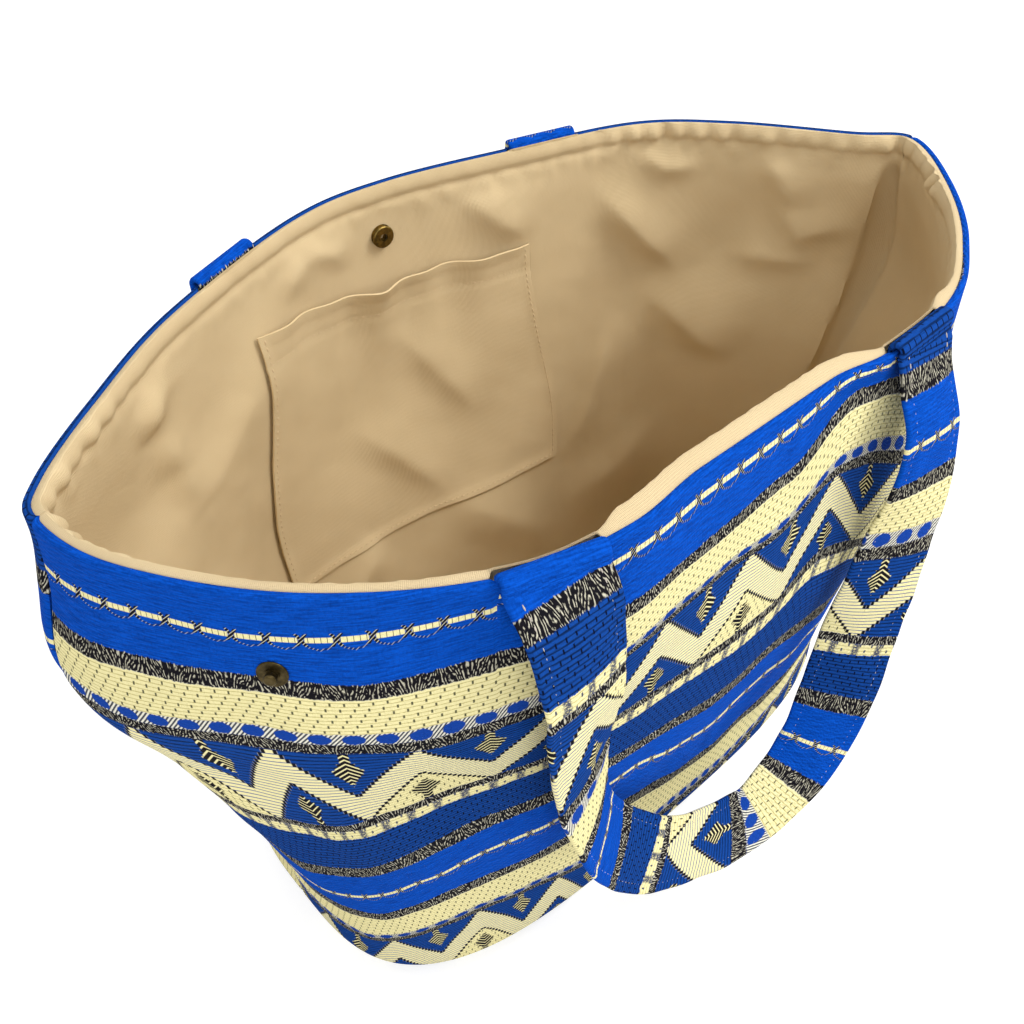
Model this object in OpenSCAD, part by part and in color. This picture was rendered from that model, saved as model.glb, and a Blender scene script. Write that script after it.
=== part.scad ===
// Soft beach tote standing open: two outer panels and two lining panels, each a wall and half of the
// base, an inside patch pocket, two flat straps sewn into the rim, and three press snaps.
// The origin is the centre of the base on the floor. +X runs along the mouth, -Y is the front panel.

/* [Bag] */
// Height of the rim above the floor
bag_h = 338; // [300:2:370]
// Width of the open mouth, seam to seam
mouth_w = 493; // [460:1:520]
// Depth of the open mouth, front to back
mouth_d = 274; // [250:2:300]
// Shift of the front strap towards the left seam, as sewn
front_sewn_shift = 7; // [0:1:20]
// Shift of the back strap towards the left seam, as sewn
back_sewn_shift = 19; // [0:1:24]

/* [Base] */
// Length of the base
base_w = 396; // [370:2:430]
// Depth of the base
base_d = 216; // [200:2:240]
// Squareness of the base corners: 2 is an ellipse, more is squarer
base_squareness = 3.3; // [2.4:0.1:4]
// Radius of the soft edge between wall and base
base_edge_r = 20; // [14:1:32]

/* [Cloth] */
// Thickness of the woven outer cloth
outer_t = 1.8; // [1.2:0.1:2.4]
// Thickness of the cotton lining
lining_t = 0.8; // [0.5:0.1:1.2]
// Depth of the turned-in hem along the rim
hem_h = 14; // [10:1:18]
// Clearance between cloth layers that lie on each other
layer_gap = 0.3; // [0.2:0.05:0.4]
// Clearance on both sides of a strap end that is sewn in between the cloths
sewn_gap = 0.6; // [0.5:0.05:0.8]
// Height of upright cloth below the rim, before the walls draw in
upright_h = 72; // [50:5:100]
// How far the cloth bellies out below the rim at the side seams
side_belly = 12; // [4:1:14]
// How far the soft folds stand out of the walls
fold_depth = 5; // [2:0.5:7]

/* [Straps] */
// Width of a strap
strap_w = 41; // [36:1:50]
// Thickness of a folded and pressed strap
strap_t = 2.6; // [2.2:0.1:3.2]
// Distance between the two ends of one strap, centre to centre
strap_spacing = 207; // [190:2:220]
// Length of strap end that is sewn inside the rim
strap_tail = 24; // [16:1:34]
// How far the hanging front loop stands out from the centre line of the bag
front_reach = 163; // [160:0.5:174]
// How far the hanging back loop stands out from the centre line of the bag
back_reach = 171; // [168:0.5:178]

/* [Pocket] */
// Width of the patch pocket
pocket_w = 190; // [150:2:210]
// Height of the patch pocket
pocket_h = 165; // [130:1:180]
// Shift of the pocket towards the left seam, as sewn
pocket_shift = 22; // [10:1:30]
// Distance from the rim down to the pocket mouth
pocket_drop = 60; // [54:1:80]
// How far the pocket mouth stands open in the middle
pocket_gape = 18; // [16:1:22]

/* [Snaps] */
// Diameter of the snap rings and caps
snap_d = 12.5; // [11:0.1:14]
// Outer diameter of the rivet tube that goes through the cloth
snap_tube_d = 4.4; // [4:0.1:5]
// Height of a socket ring above the cloth
socket_h = 3.2; // [2.8:0.1:4]
// Height of a stud above the cloth
stud_h = 4.4; // [4:0.1:5.5]
// Thickness of the pressed brass sheet
brass_t = 0.7; // [0.5:0.05:0.9]
// Diameter of the wire of a socket spring
spring_wire_d = 0.6; // [0.5:0.05:0.8]
// Shift of the centre snap towards the left seam
centre_snap_shift = 18; // [10:1:24]
// Distance of the centre snap below the rim
centre_snap_drop = 28; // [25:1:34]
// Distance of the side snaps below the rim
side_snap_drop = 36; // [36:1:50]
// Distance of the side snaps from the side seams, along the cloth
side_snap_inset = 96; // [75:1:105]
// Clearance under and around snap pieces
snap_gap = 0.25; // [0.2:0.05:0.3]

/* [Hidden] */
$fn = 48;

// Layers through the wall, counted inwards from the outer face
strap_room = strap_t + 2 * sewn_gap;
lining_at = outer_t + strap_room;
lining_face = lining_at + lining_t;

// Shape of the mouth as shares of half its width and half its depth, left seam to right seam
MOUTH_FRONT = [
    [-1, 0.07], [-0.96, -0.22], [-0.81, -0.60], [-0.60, -0.89], [-0.40, -0.99], [0.04, -1],
    [0.43, -0.98], [0.67, -0.79], [0.87, -0.50]
];
// The same along the back, right seam to left seam
MOUTH_BACK = [
    [1, -0.19], [0.92, 0.02], [0.77, 0.42], [0.60, 0.70], [0.30, 0.87], [0, 1],
    [-0.24, 0.98], [-0.59, 0.72], [-0.81, 0.45], [-0.96, 0.22]
];
// Steps of each smooth span of the mouth outline
SPAN_STEPS = 6;
// Steps of half of the base outline
BASE_STEPS = 60;
// Longest facet along the rim and down the wall
MAX_STEP = 36;
// Half width of the flat pad of cloth that carries a snap
SNAP_PAD = 10;
// Drop below the rim at which a strap comes away from the cloth outside
STRAP_DROP = 4;
// Half the gap between panels that meet at a seam
SEAM_HALF = 0.15;
// Widening and sideways lean of the cloth lines down to the foot of the pocket
POCKET_FAN = 0.24;
POCKET_LEAN = 0.046;

// Soft folds: place along the loop (0 left seam, 1 right seam, 2 left seam again), drop below the rim
// of the middle, sideways slope per millimetre of drop, half width, half length, share of fold_depth
FOLDS = [
    [0.10, 150, 0.10, 34, 110, -1.0],
    [0.21, 190, -0.20, 40, 100, 0.9],
    [0.36, 120, 0.15, 36, 90, -0.7],
    [0.62, 180, -0.10, 45, 110, 0.9],
    [0.86, 130, 0.12, 34, 100, -1.0],
    [1.13, 150, -0.12, 34, 110, -1.0],
    [1.30, 200, 0.20, 42, 100, 0.9],
    [1.72, 190, -0.15, 42, 100, 0.8],
    [1.90, 140, 0.10, 34, 100, -1.0]
];

// Smooth closed curve through control points
function spline(a, b, c, d, t) =
    0.5 * ((2 * b) + (c - a) * t + (2 * a - 5 * b + 4 * c - d) * t * t
    + (3 * b - a - 3 * c + d) * t * t * t);
function sizes(v) = [v[0] * mouth_w / 2, v[1] * mouth_d / 2];
MOUTH = [for (v = concat(MOUTH_FRONT, MOUTH_BACK)) sizes(v)];
function ring_item(v, i) = v[(i + len(v)) % len(v)];
function dense(first, last) = [
    for (i = [first:last], k = [0:(i == last ? SPAN_STEPS : SPAN_STEPS - 1)])
        spline(ring_item(MOUTH, i - 1), ring_item(MOUTH, i), ring_item(MOUTH, i + 1),
            ring_item(MOUTH, i + 2), k / SPAN_STEPS)
];
function lengths(p) = [
    for (i = 0, a = 0; i < len(p); a = a + (i + 1 < len(p) ? norm(p[i + 1] - p[i]) : 0), i = i + 1) a
];
front_curve = dense(0, len(MOUTH_FRONT) - 1);
back_curve = dense(len(MOUTH_FRONT), len(MOUTH) - 1);
front_lengths = lengths(front_curve);
back_lengths = lengths(back_curve);
front_len = front_lengths[len(front_lengths) - 1];
back_len = back_lengths[len(back_lengths) - 1];
function table(p, l, axis) = [for (i = [0:len(p) - 1]) [l[i] / l[len(l) - 1], p[i][axis]]];
front_x = table(front_curve, front_lengths, 0);
front_y = table(front_curve, front_lengths, 1);
back_x = table(back_curve, back_lengths, 0);
back_y = table(back_curve, back_lengths, 1);

// A loop place q runs 0 to 1 along the front panel and 1 to 2 along the back panel
function wrap(q) = q - 2 * floor(q / 2);
function mouth_at(m) =
    m < 1 ? [lookup(m, front_x), lookup(m, front_y)] : [lookup(m - 1, back_x), lookup(m - 1, back_y)];
function mouth(q) = mouth_at(wrap(q));

// Base outline with the same loop places, drawn in by an inset
function rounded(x) = sign(x) * pow(abs(x), 2 / base_squareness);
base_curve = [
    for (k = [0:BASE_STEPS])
        let (a = 180 * k / BASE_STEPS) [-rounded(cos(a)) * base_w / 2, -rounded(sin(a)) * base_d / 2]
];
base_lengths = lengths(base_curve);
base_x = table(base_curve, base_lengths, 0);
base_y = table(base_curve, base_lengths, 1);
function half_base(f, inset) =
    [lookup(f, base_x) * (1 - 2 * inset / base_w), lookup(f, base_y) * (1 - 2 * inset / base_d)];
function base_at(m, inset) = m < 1 ? half_base(m, inset) : -half_base(m - 1, inset);
function base(q, inset) = base_at(wrap(q), inset);

// Drop along the wall down to the soft edge, round it, and across half of the base
wall_len = bag_h - base_edge_r;
edge_len = base_edge_r * PI / 2;
half_floor = base_d / 2 - base_edge_r;
profile_len = wall_len + edge_len + half_floor;

// The wall keeps the plan of the mouth near the rim and draws in to the base below
function eased(x) = let (t = min(1, max(0, x))) t * t * (3 - 2 * t);
function taper(drop) = 1 - eased((drop - upright_h) / (wall_len - upright_h));
function bump(x) = exp(-x * x);
function loop_gap(a, b) = let (g = wrap(a - b)) g > 1 ? g - 2 : g;
function fold_of(f, q, drop) =
    let (along = loop_gap(q, f[0]) * 600 - f[2] * (drop - f[1]))
    f[5] * bump(along / f[3]) * bump((drop - f[1]) / f[4]);
function sum(v, i = 0) = i < len(v) ? v[i] + sum(v, i + 1) : 0;
// Folds fade out towards the hem and the base edge, and beside the snaps
function fade(drop) = eased((drop - side_snap_drop - SNAP_PAD) / 70) * eased((wall_len - drop) / 60);
function fold(q, drop) = fold_depth * fade(drop) * sum([for (f = FOLDS) fold_of(f, q, drop)]);
function belly_out(q, drop) = side_belly * pow(cos(180 * q), 4) * sin(180 * eased(drop / (2 * upright_h)));
function plan_normal(q) = let (t = mouth(q + 0.012) - mouth(q - 0.012)) [t[1], -t[0]] / norm(t);
function wall(q, drop) =
    let (p = base(q, 0) + (mouth(q) - base(q, 0)) * taper(drop)
        + plan_normal(q) * (fold(q, drop) + belly_out(q, drop)))
    [p[0], p[1], bag_h - drop];
function edge(q, d) =
    let (a = d / base_edge_r * 180 / PI, p = base(q, base_edge_r * (1 - cos(a))))
    [p[0], p[1], base_edge_r * (1 - sin(a))];
function floor_of(q, share) =
    let (p = base(q, base_edge_r), side = wrap(q) < 1 ? -1 : 1)
    [p[0] * (1 - 0.12 * share), p[1] * (1 - share) + side * SEAM_HALF * share, 0];
function outside(q, d) =
    d <= wall_len ? wall(q, d) :
    d <= wall_len + edge_len ? edge(q, d - wall_len) :
    floor_of(q, (d - wall_len - edge_len) / half_floor);

// Outward direction of the cloth
function unit(v) = v / norm(v);
function outward(q, d) =
    d > wall_len + edge_len - 1 ? [0, 0, -1] :
    let (
        across = outside(q + 0.012, d) - outside(q - 0.012, d),
        down = outside(q, d + 2) - outside(q, max(0, d - 2))
    )
    unit(cross(down, across));
// A point of the wall at a depth below its outer face
function cloth(q, d, depth) = outside(q, d) - outward(q, d) * depth;

// Panels are grids of loop places and drops. Grid lines pass through every place that matters.
function smaller(v, x) = [for (a = v) if (a < x) a];
function larger(v, x) = [for (a = v) if (a > x) a];
function sorted(v) =
    len(v) < 2 ? v : let (x = v[floor(len(v) / 2)]) concat(sorted(smaller(v, x)), [x], sorted(larger(v, x)));
function filled(v, step) = [
    for (i = [0:len(v) - 1]) each
        i == len(v) - 1 ? [v[i]] :
        let (n = ceil((v[i + 1] - v[i]) / step)) [for (k = [0:n - 1]) v[i] + (v[i + 1] - v[i]) * k / n]
];
function lines(keys, low, high, step) =
    filled(concat([low], sorted([for (k = keys) if (k > low + 1 && k < high - 1) round(k)]), [high]), step);
edge_rows = [for (k = [1:3]) wall_len + edge_len * k / 3];
floor_rows = [for (k = [1:3]) wall_len + edge_len + half_floor * k / 3];
function rows(keys) = concat(lines(keys, 0, wall_len, MAX_STEP), edge_rows, floor_rows);

// Places along a panel are millimetres from its middle, from -half to +half
window_half = ceil(strap_w / 2) + 2;
function strap_at(shift) = [shift - strap_spacing / 2, shift + strap_spacing / 2];
function window_keys(shift) = [
    for (c = strap_at(shift)) each [
        c - window_half - 1, c - window_half, c - strap_w / 6,
        c + strap_w / 6, c + window_half, c + window_half + 1
    ]
];
function in_window(c, shift) = min([for (w = strap_at(shift)) abs(c - w)]) < window_half + 0.6;
function pad_keys(c) = [c - SNAP_PAD, c + SNAP_PAD];
side_front = front_len / 2 - side_snap_inset;
side_back = back_len / 2 - side_snap_inset;
outer_rows = rows([hem_h, hem_h + 1, side_snap_drop - SNAP_PAD, side_snap_drop + SNAP_PAD]);
lining_rows = rows([
    centre_snap_drop - SNAP_PAD, centre_snap_drop + SNAP_PAD, pocket_drop, pocket_drop + pocket_h
]);
outer_front_cols = lines(concat(window_keys(-front_sewn_shift), pad_keys(-side_front), pad_keys(side_front)),
    SEAM_HALF - front_len / 2, front_len / 2 - SEAM_HALF, MAX_STEP);
outer_back_cols = lines(concat(window_keys(back_sewn_shift), pad_keys(-side_back), pad_keys(side_back)),
    SEAM_HALF - back_len / 2, back_len / 2 - SEAM_HALF, MAX_STEP);
lining_front_cols = lines(pad_keys(-centre_snap_shift),
    SEAM_HALF - front_len / 2, front_len / 2 - SEAM_HALF, MAX_STEP);
pocket_sides = [pocket_shift - pocket_w / 2, pocket_shift + pocket_w / 2];
lining_back_cols = lines(concat(pad_keys(centre_snap_shift), pocket_sides),
    SEAM_HALF - back_len / 2, back_len / 2 - SEAM_HALF, MAX_STEP);
function front_q(c) = c / front_len + 0.5;
function back_q(c) = c / back_len + 1.5;
// Below the pocket mouth the lines of the back lining fan out, so that the pocket keeps its width
// while the wall draws in. The ends of the lines at the seams stay in place.
function lining_back_q(c, d) =
    let (u = 2 * c / back_len, down = eased((d - pocket_drop) / pocket_h))
    1.5 + (u + down * (1 - u * u) * (POCKET_FAN * u - POCKET_LEAN)) / 2;

// Closed sheet between an outer and an inner grid of points
function grid_faces(nc, nr) = [
    let (id = function(l, i, j) (l * (nc + 1) + i) * (nr + 1) + j)
    each concat(
        [for (i = [0:nc - 1], j = [0:nr - 1]) each [
            [id(0, i, j), id(0, i + 1, j), id(0, i + 1, j + 1)],
            [id(0, i, j), id(0, i + 1, j + 1), id(0, i, j + 1)],
            [id(1, i, j), id(1, i + 1, j + 1), id(1, i + 1, j)],
            [id(1, i, j), id(1, i, j + 1), id(1, i + 1, j + 1)]
        ]],
        [for (i = [0:nc - 1]) each [
            [id(0, i, 0), id(1, i, 0), id(1, i + 1, 0)],
            [id(0, i, 0), id(1, i + 1, 0), id(0, i + 1, 0)],
            [id(0, i, nr), id(1, i + 1, nr), id(1, i, nr)],
            [id(0, i, nr), id(0, i + 1, nr), id(1, i + 1, nr)]
        ]],
        [for (j = [0:nr - 1]) each [
            [id(0, 0, j), id(1, 0, j + 1), id(1, 0, j)],
            [id(0, 0, j), id(0, 0, j + 1), id(1, 0, j + 1)],
            [id(0, nc, j), id(1, nc, j), id(1, nc, j + 1)],
            [id(0, nc, j), id(1, nc, j + 1), id(0, nc, j + 1)]
        ]]
    )
];
module sheet(face, reverse) {
    nc = len(face) - 1;
    nr = len(face[0]) - 1;
    polyhedron(
        points = [for (l = [face, reverse], column = l, p = column) p],
        faces = grid_faces(nc, nr)
    );
}

// Snap halves stand on the average of the pad of cloth under them
function pad_frame(q0, q1, d0, d1, depth) =
    let (
        a = cloth(q0, d0, depth), b = cloth(q1, d0, depth),
        c = cloth(q1, d1, depth), d = cloth(q0, d1, depth),
        out = unit(cross(d - b, c - a)), side = unit(b - a + c - d),
        up = cross(out, side), mid = (a + b + c + d) / 4
    )
    [mid, cross(up, out), up, out];
function pad_near(q, half, drop, depth) =
    pad_frame(q - half, q + half, drop - SNAP_PAD, drop + SNAP_PAD, depth);
// Puts a piece that is drawn along +Z on a pad, standing out of the bag or into it
module on_pad(frame, inwards = false) {
    s = inwards ? -1 : 1;
    m = frame[0];
    x = frame[1];
    y = frame[2] * s;
    z = frame[3] * s;
    multmatrix([
        [x[0], y[0], z[0], m[0]],
        [x[1], y[1], z[1], m[1]],
        [x[2], y[2], z[2], m[2]],
        [0, 0, 0, 1]
    ]) children();
}
pad_centre_front = SNAP_PAD / front_len;
pad_centre_back = SNAP_PAD / back_len;
centre_front_q = front_q(-centre_snap_shift);
centre_back_q = back_q(centre_snap_shift);
left_front_q = front_q(-side_front);
left_back_q = back_q(side_back);
right_front_q = front_q(side_front);
right_back_q = back_q(-side_back);
module pad_front(q, drop, depth, inwards = false) {
    on_pad(pad_near(q, pad_centre_front, drop, depth), inwards) children();
}
module pad_back(q, drop, depth, inwards = false) {
    on_pad(pad_near(q, pad_centre_back, drop, depth), inwards) children();
}
module punched_hole() {
    cylinder(h = 12, d = snap_tube_d + 2 * snap_gap, center = true);
}

module panel(cols, drops, q_of, shift) {
    sheet(
        [for (c = cols) [for (d = drops) cloth(q_of(c), d, 0)]],
        [for (c = cols) [for (d = drops)
            cloth(q_of(c), d, d < hem_h + 0.5 && !in_window(c, shift) ? 2 * outer_t : outer_t)]]
    );
}
module outer_front() {
    color("mediumblue") difference() {
        panel(outer_front_cols, outer_rows, function(c) front_q(c), -front_sewn_shift);
        pad_front(left_front_q, side_snap_drop, 0) punched_hole();
        pad_front(right_front_q, side_snap_drop, 0) punched_hole();
    }
}
module outer_back() {
    color("royalblue") difference() {
        panel(outer_back_cols, outer_rows, function(c) back_q(c), back_sewn_shift);
        pad_back(left_back_q, side_snap_drop, 0) punched_hole();
        pad_back(right_back_q, side_snap_drop, 0) punched_hole();
    }
}
module lining_sheet(cols, q_of) {
    sheet(
        [for (c = cols) [for (d = lining_rows) cloth(q_of(c, d), d, lining_at)]],
        [for (c = cols) [for (d = lining_rows) cloth(q_of(c, d), d, lining_face)]]
    );
}
module lining_front() {
    color("burlywood") difference() {
        lining_sheet(lining_front_cols, function(c, d) front_q(c));
        pad_front(centre_front_q, centre_snap_drop, lining_at) punched_hole();
    }
}
module lining_back() {
    color("tan") difference() {
        lining_sheet(lining_back_cols, function(c, d) lining_back_q(c, d));
        pad_back(centre_back_q, centre_snap_drop, lining_at) punched_hole();
    }
}

// The pocket shares the grid lines of the lining behind it, and bellies out towards its mouth
pocket_cols = [for (c = lining_back_cols) if (abs(c - pocket_shift) <= pocket_w / 2 + 0.5) c];
pocket_rows = [for (d = lining_rows) if (d >= pocket_drop && d <= pocket_drop + pocket_h) d];
function belly(c, d) =
    let (across = 2 * (c - pocket_shift) / pocket_w, down = (d - pocket_drop) / pocket_h)
    pocket_gape * max(0, 1 - across * across) * pow(max(0, 1 - down), 0.8);
module pocket_sheet() {
    at = lining_face + layer_gap;
    sheet(
        [for (c = pocket_cols) [for (d = pocket_rows) cloth(lining_back_q(c, d), d, at + belly(c, d))]],
        [for (c = pocket_cols) [
            for (d = pocket_rows) cloth(lining_back_q(c, d), d, at + belly(c, d) + lining_t)
        ]]
    );
}
module lining_pocket() {
    color("wheat") pocket_sheet();
}

// Hanging loop of the front strap, right end to left end: X, share of the reach, height from the
// rim, then the direction of the strap's width
FRONT_LOOP = [
    [79, -0.88, -12, 0.99, 0, -0.15],
    [77, -0.955, -38, 0.96, -0.05, -0.27],
    [76, -0.975, -68, 0.91, -0.18, -0.37],
    [75, -0.965, -104, 0.83, -0.35, -0.44],
    [73, -0.955, -144, 0.72, -0.50, -0.47],
    [70, -0.95, -180, 0.57, -0.64, -0.51],
    [63, -0.96, -216, 0.43, -0.70, -0.58],
    [51, -0.97, -245, 0.34, -0.67, -0.66],
    [34, -0.965, -267, 0.28, -0.62, -0.74],
    [5, -0.945, -281, 0.17, -0.50, -0.85],
    [-30, -0.92, -269, 0.02, -0.38, -0.93],
    [-59, -0.895, -252, -0.14, -0.35, -0.93],
    [-79, -0.87, -229, -0.29, -0.41, -0.87],
    [-91, -0.86, -209, -0.43, -0.45, -0.78],
    [-102, -0.86, -185, -0.68, -0.50, -0.50],
    [-111, -0.865, -150, -0.89, -0.42, 0.10],
    [-118, -0.88, -120, -0.86, -0.28, 0.40],
    [-122, -0.895, -90, -0.87, -0.16, 0.42],
    [-124, -0.905, -55, -0.95, -0.02, 0.28],
    [-126, -0.875, -20, -0.97, 0.15, 0.12]
];
// Hanging loop of the back strap, left end to right end, in the same form
BACK_LOOP = [
    [-111, 0.74, -18, -0.96, -0.28, -0.05],
    [-112, 0.80, -48, -0.97, -0.10, -0.20],
    [-112, 0.84, -88, -0.93, 0.15, -0.33],
    [-109, 0.88, -130, -0.84, 0.35, -0.42],
    [-103, 0.91, -172, -0.70, 0.50, -0.52],
    [-92, 0.93, -210, -0.52, 0.56, -0.64],
    [-74, 0.94, -243, -0.36, 0.55, -0.75],
    [-46, 0.93, -266, -0.20, 0.48, -0.85],
    [-12, 0.92, -277, -0.02, 0.40, -0.92],
    [22, 0.91, -270, 0.16, 0.40, -0.90],
    [52, 0.91, -250, 0.34, 0.45, -0.83],
    [74, 0.91, -220, 0.55, 0.48, -0.68],
    [88, 0.90, -184, 0.76, 0.42, -0.50],
    [95, 0.88, -146, 0.90, 0.28, -0.30],
    [98, 0.85, -106, 0.96, 0.10, -0.15],
    [98, 0.82, -66, 0.97, -0.10, -0.05],
    [94, 0.76, -26, 0.95, -0.30, 0]
];
// Sewn end of a strap: up between outer cloth and lining, round the edge of the outer cloth, and down
// outside. Each step is a depth, a height from the rim and the turn of the strap's face.
fold_r = (outer_t + strap_room) / 2;
END_STEPS = concat(
    [[outer_t / 2 + fold_r, -strap_tail, 0], [outer_t / 2 + fold_r, -strap_tail / 2, 0]],
    [for (a = [0:30:180]) [outer_t / 2 + fold_r * cos(a), fold_r * sin(a), a]],
    [[outer_t / 2 - fold_r, -STRAP_DROP, 180]]
);
// Points of such a ring lie along the curve of the rim, from one edge of the strap to the other
function end_ring(q, side, panel_len, e) = [
    for (s = section)
        let (
            along = side * s[0] * strap_w / panel_len,
            at = cloth(q + along, max(0, -e[1]), e[0] + s[1] * strap_t * cos(e[2]))
        )
        [at[0], at[1], bag_h + e[1] + s[1] * strap_t * sin(e[2])]
];
function end_rings(q, side, panel_len) = [for (e = END_STEPS) end_ring(q, side, panel_len, e)];
// Middle of the last ring outside, with the direction of the strap's width
function end_point(q, side) =
    let (
        at = cloth(q, STRAP_DROP, outer_t / 2 - fold_r),
        w = unit(mouth(q + 0.012) - mouth(q - 0.012)) * side
    )
    [at[0], at[1], bag_h - STRAP_DROP, w[0], w[1], 0];
function reversed(v) = [for (i = [len(v) - 1:-1:0]) v[i]];
function loop_points(l, reach) = [for (p = l) [p[0], p[1] * reach, bag_h + p[2], p[3], p[4], p[5]]];
// Rings of the strap: the curve through the points, a short ring spacing at the tight turns
function path_between(p, i) =
    let (
        a = p[max(0, i - 1)], b = p[i], c = p[i + 1], d = p[min(len(p) - 1, i + 2)],
        n = max(1, ceil(norm([c[0] - b[0], c[1] - b[1], c[2] - b[2]]) / 15))
    )
    [for (k = [0:n - 1]) spline(a, b, c, d, k / n)];
function path(p) = concat([for (i = [0:len(p) - 2]) each path_between(p, i)], [p[len(p) - 1]]);
section = concat([for (x = [-3:2:3]) [x / 6, 0.5]], [for (x = [3:-2:-3]) [x / 6, -0.5]]);
function xyz(p) = [p[0], p[1], p[2]];
function strap_ring(p, before, after) =
    let (
        t = unit(xyz(after) - xyz(before)), w0 = [p[3], p[4], p[5]],
        w = unit(w0 - t * (w0 * t)), n = cross(t, w)
    )
    [for (s = section) xyz(p) + w * s[0] * strap_w + n * s[1] * strap_t];
function tube_faces(rings, sides) = concat(
    [for (i = [0:rings - 2], k = [0:sides - 1]) each [
        [i * sides + k, (i + 1) * sides + (k + 1) % sides, (i + 1) * sides + k],
        [i * sides + k, i * sides + (k + 1) % sides, (i + 1) * sides + (k + 1) % sides]
    ]],
    [[for (k = [sides - 1:-1:0]) k]],
    [[for (k = [0:sides - 1]) (rings - 1) * sides + k]]
);
module strap(loop, reach, q_first, q_last, panel_len) {
    p = path(concat([end_point(q_first, 1)], loop_points(loop, reach), [end_point(q_last, -1)]));
    hanging = [for (i = [1:len(p) - 2]) strap_ring(p[i], p[i - 1], p[i + 1])];
    rings = concat(
        end_rings(q_first, 1, panel_len), hanging, reversed(end_rings(q_last, -1, panel_len))
    );
    polyhedron(points = [for (r = rings, v = r) v], faces = tube_faces(len(rings), len(section)));
}
front_ends = strap_at(-front_sewn_shift);
back_ends = strap_at(back_sewn_shift);
module strap_front() {
    color("navy") strap(FRONT_LOOP, front_reach, front_q(front_ends[1]), front_q(front_ends[0]), front_len);
}
module strap_back() {
    color("darkblue") strap(BACK_LOOP, back_reach, back_q(back_ends[1]), back_q(back_ends[0]), back_len);
}

// Snap pieces are drawn on the XY plane, which is the face of the cloth, and stand up along +Z
snap_r = snap_d / 2;
tube_r = snap_tube_d / 2;
seat_r = tube_r + 0.05;
spring_z = snap_gap + socket_h * 0.6;
spring_r = spring_wire_d / 2;
spring_x = tube_r + spring_wire_d;
// Pressed ring with a rolled rim and an inner groove that holds the spring
module socket() {
    color("darkgoldenrod") translate([0, 0, snap_gap]) rotate_extrude() difference() {
        union() {
            translate([seat_r, 0]) square([snap_r - seat_r - 0.4, socket_h - 1]);
            translate([seat_r, 0]) square([snap_r - seat_r - 1, socket_h]);
            translate([snap_r - 1, socket_h - 1]) circle(r = 1);
            translate([snap_r - 0.4 - 0.01, 0]) square([0.4, 0.6]);
        }
        translate([0, socket_h * 0.6 - spring_wire_d])
            square([spring_x + spring_wire_d + 0.3, 2 * spring_wire_d]);
    }
}
// Bent wire: two legs across the hole, joined by a half ring at each end
module socket_spring() {
    leg_x = tube_r + spring_r - 0.5;
    leg_half = 1.2;
    color("silver") translate([0, 0, spring_z]) {
        for (s = [-1, 1]) {
            translate([s * leg_x, 0, 0]) rotate([90, 0, 0])
                cylinder(h = 2 * leg_half, r = spring_r, center = true);
            translate([0, s * leg_half, 0]) rotate([0, 0, s > 0 ? 0 : 180])
                rotate_extrude(angle = 180) translate([leg_x, 0]) circle(r = spring_r);
        }
    }
}
// Stud: flange on the cloth, waist, and the round head that snaps into the socket
module stud() {
    head_r = tube_r + 0.35;
    color("darkgoldenrod") translate([0, 0, snap_gap]) rotate_extrude() difference() {
        union() {
            square([snap_r - 0.8, brass_t]);
            translate([snap_r - 0.8, brass_t / 2]) circle(d = brass_t);
            square([tube_r + 0.6, brass_t * 2]);
            square([tube_r, stud_h - 1]);
            translate([head_r - 1, stud_h - 1.2]) circle(r = 1);
            translate([0, stud_h - 2.2]) square([head_r - 1, 2]);
        }
        square([tube_r - 0.5, outer_t]);
        translate([-10, -10]) square([10, 30]);
    }
}
// Rivet: cap on the hidden side of the cloth and a tube through it
module rivet(cloth_t, tube_top, tube_radius) {
    color("sienna") rotate_extrude() difference() {
        union() {
            translate([0, -cloth_t - snap_gap - brass_t]) square([snap_r - 1, brass_t]);
            translate([snap_r - 1, -cloth_t - snap_gap - brass_t / 2]) circle(d = brass_t);
            translate([0, -cloth_t - snap_gap - 0.01]) square([tube_radius, cloth_t + snap_gap + tube_top]);
        }
        translate([-10, -20]) square([10, 40]);
        translate([-1, -cloth_t - snap_gap - brass_t]) square([1 + tube_radius - brass_t * 0.6, 40]);
    }
}
socket_tube_top = snap_gap + socket_h * 0.6 - spring_wire_d - 0.2;
stud_tube_top = snap_gap + outer_t - 0.3;
stud_tube_r = tube_r - 0.55;
module socket_rivet(cloth_t) {
    rivet(cloth_t, socket_tube_top, tube_r);
}
module stud_rivet(cloth_t) {
    rivet(cloth_t, stud_tube_top, stud_tube_r);
}
module centre_socket() {
    pad_back(centre_back_q, centre_snap_drop, lining_face, true) socket();
}
module centre_socket_spring() {
    pad_back(centre_back_q, centre_snap_drop, lining_face, true) socket_spring();
}
module centre_socket_rivet() {
    pad_back(centre_back_q, centre_snap_drop, lining_face, true) socket_rivet(lining_t);
}
module centre_stud() {
    pad_front(centre_front_q, centre_snap_drop, lining_face, true) stud();
}
module centre_stud_rivet() {
    pad_front(centre_front_q, centre_snap_drop, lining_face, true) stud_rivet(lining_t);
}
module left_stud() {
    pad_front(left_front_q, side_snap_drop, 0) stud();
}
module left_stud_rivet() {
    pad_front(left_front_q, side_snap_drop, 0) stud_rivet(outer_t);
}
module left_socket() {
    pad_back(left_back_q, side_snap_drop, 0) socket();
}
module left_socket_spring() {
    pad_back(left_back_q, side_snap_drop, 0) socket_spring();
}
module left_socket_rivet() {
    pad_back(left_back_q, side_snap_drop, 0) socket_rivet(outer_t);
}
module right_stud() {
    pad_front(right_front_q, side_snap_drop, 0) stud();
}
module right_stud_rivet() {
    pad_front(right_front_q, side_snap_drop, 0) stud_rivet(outer_t);
}
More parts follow.
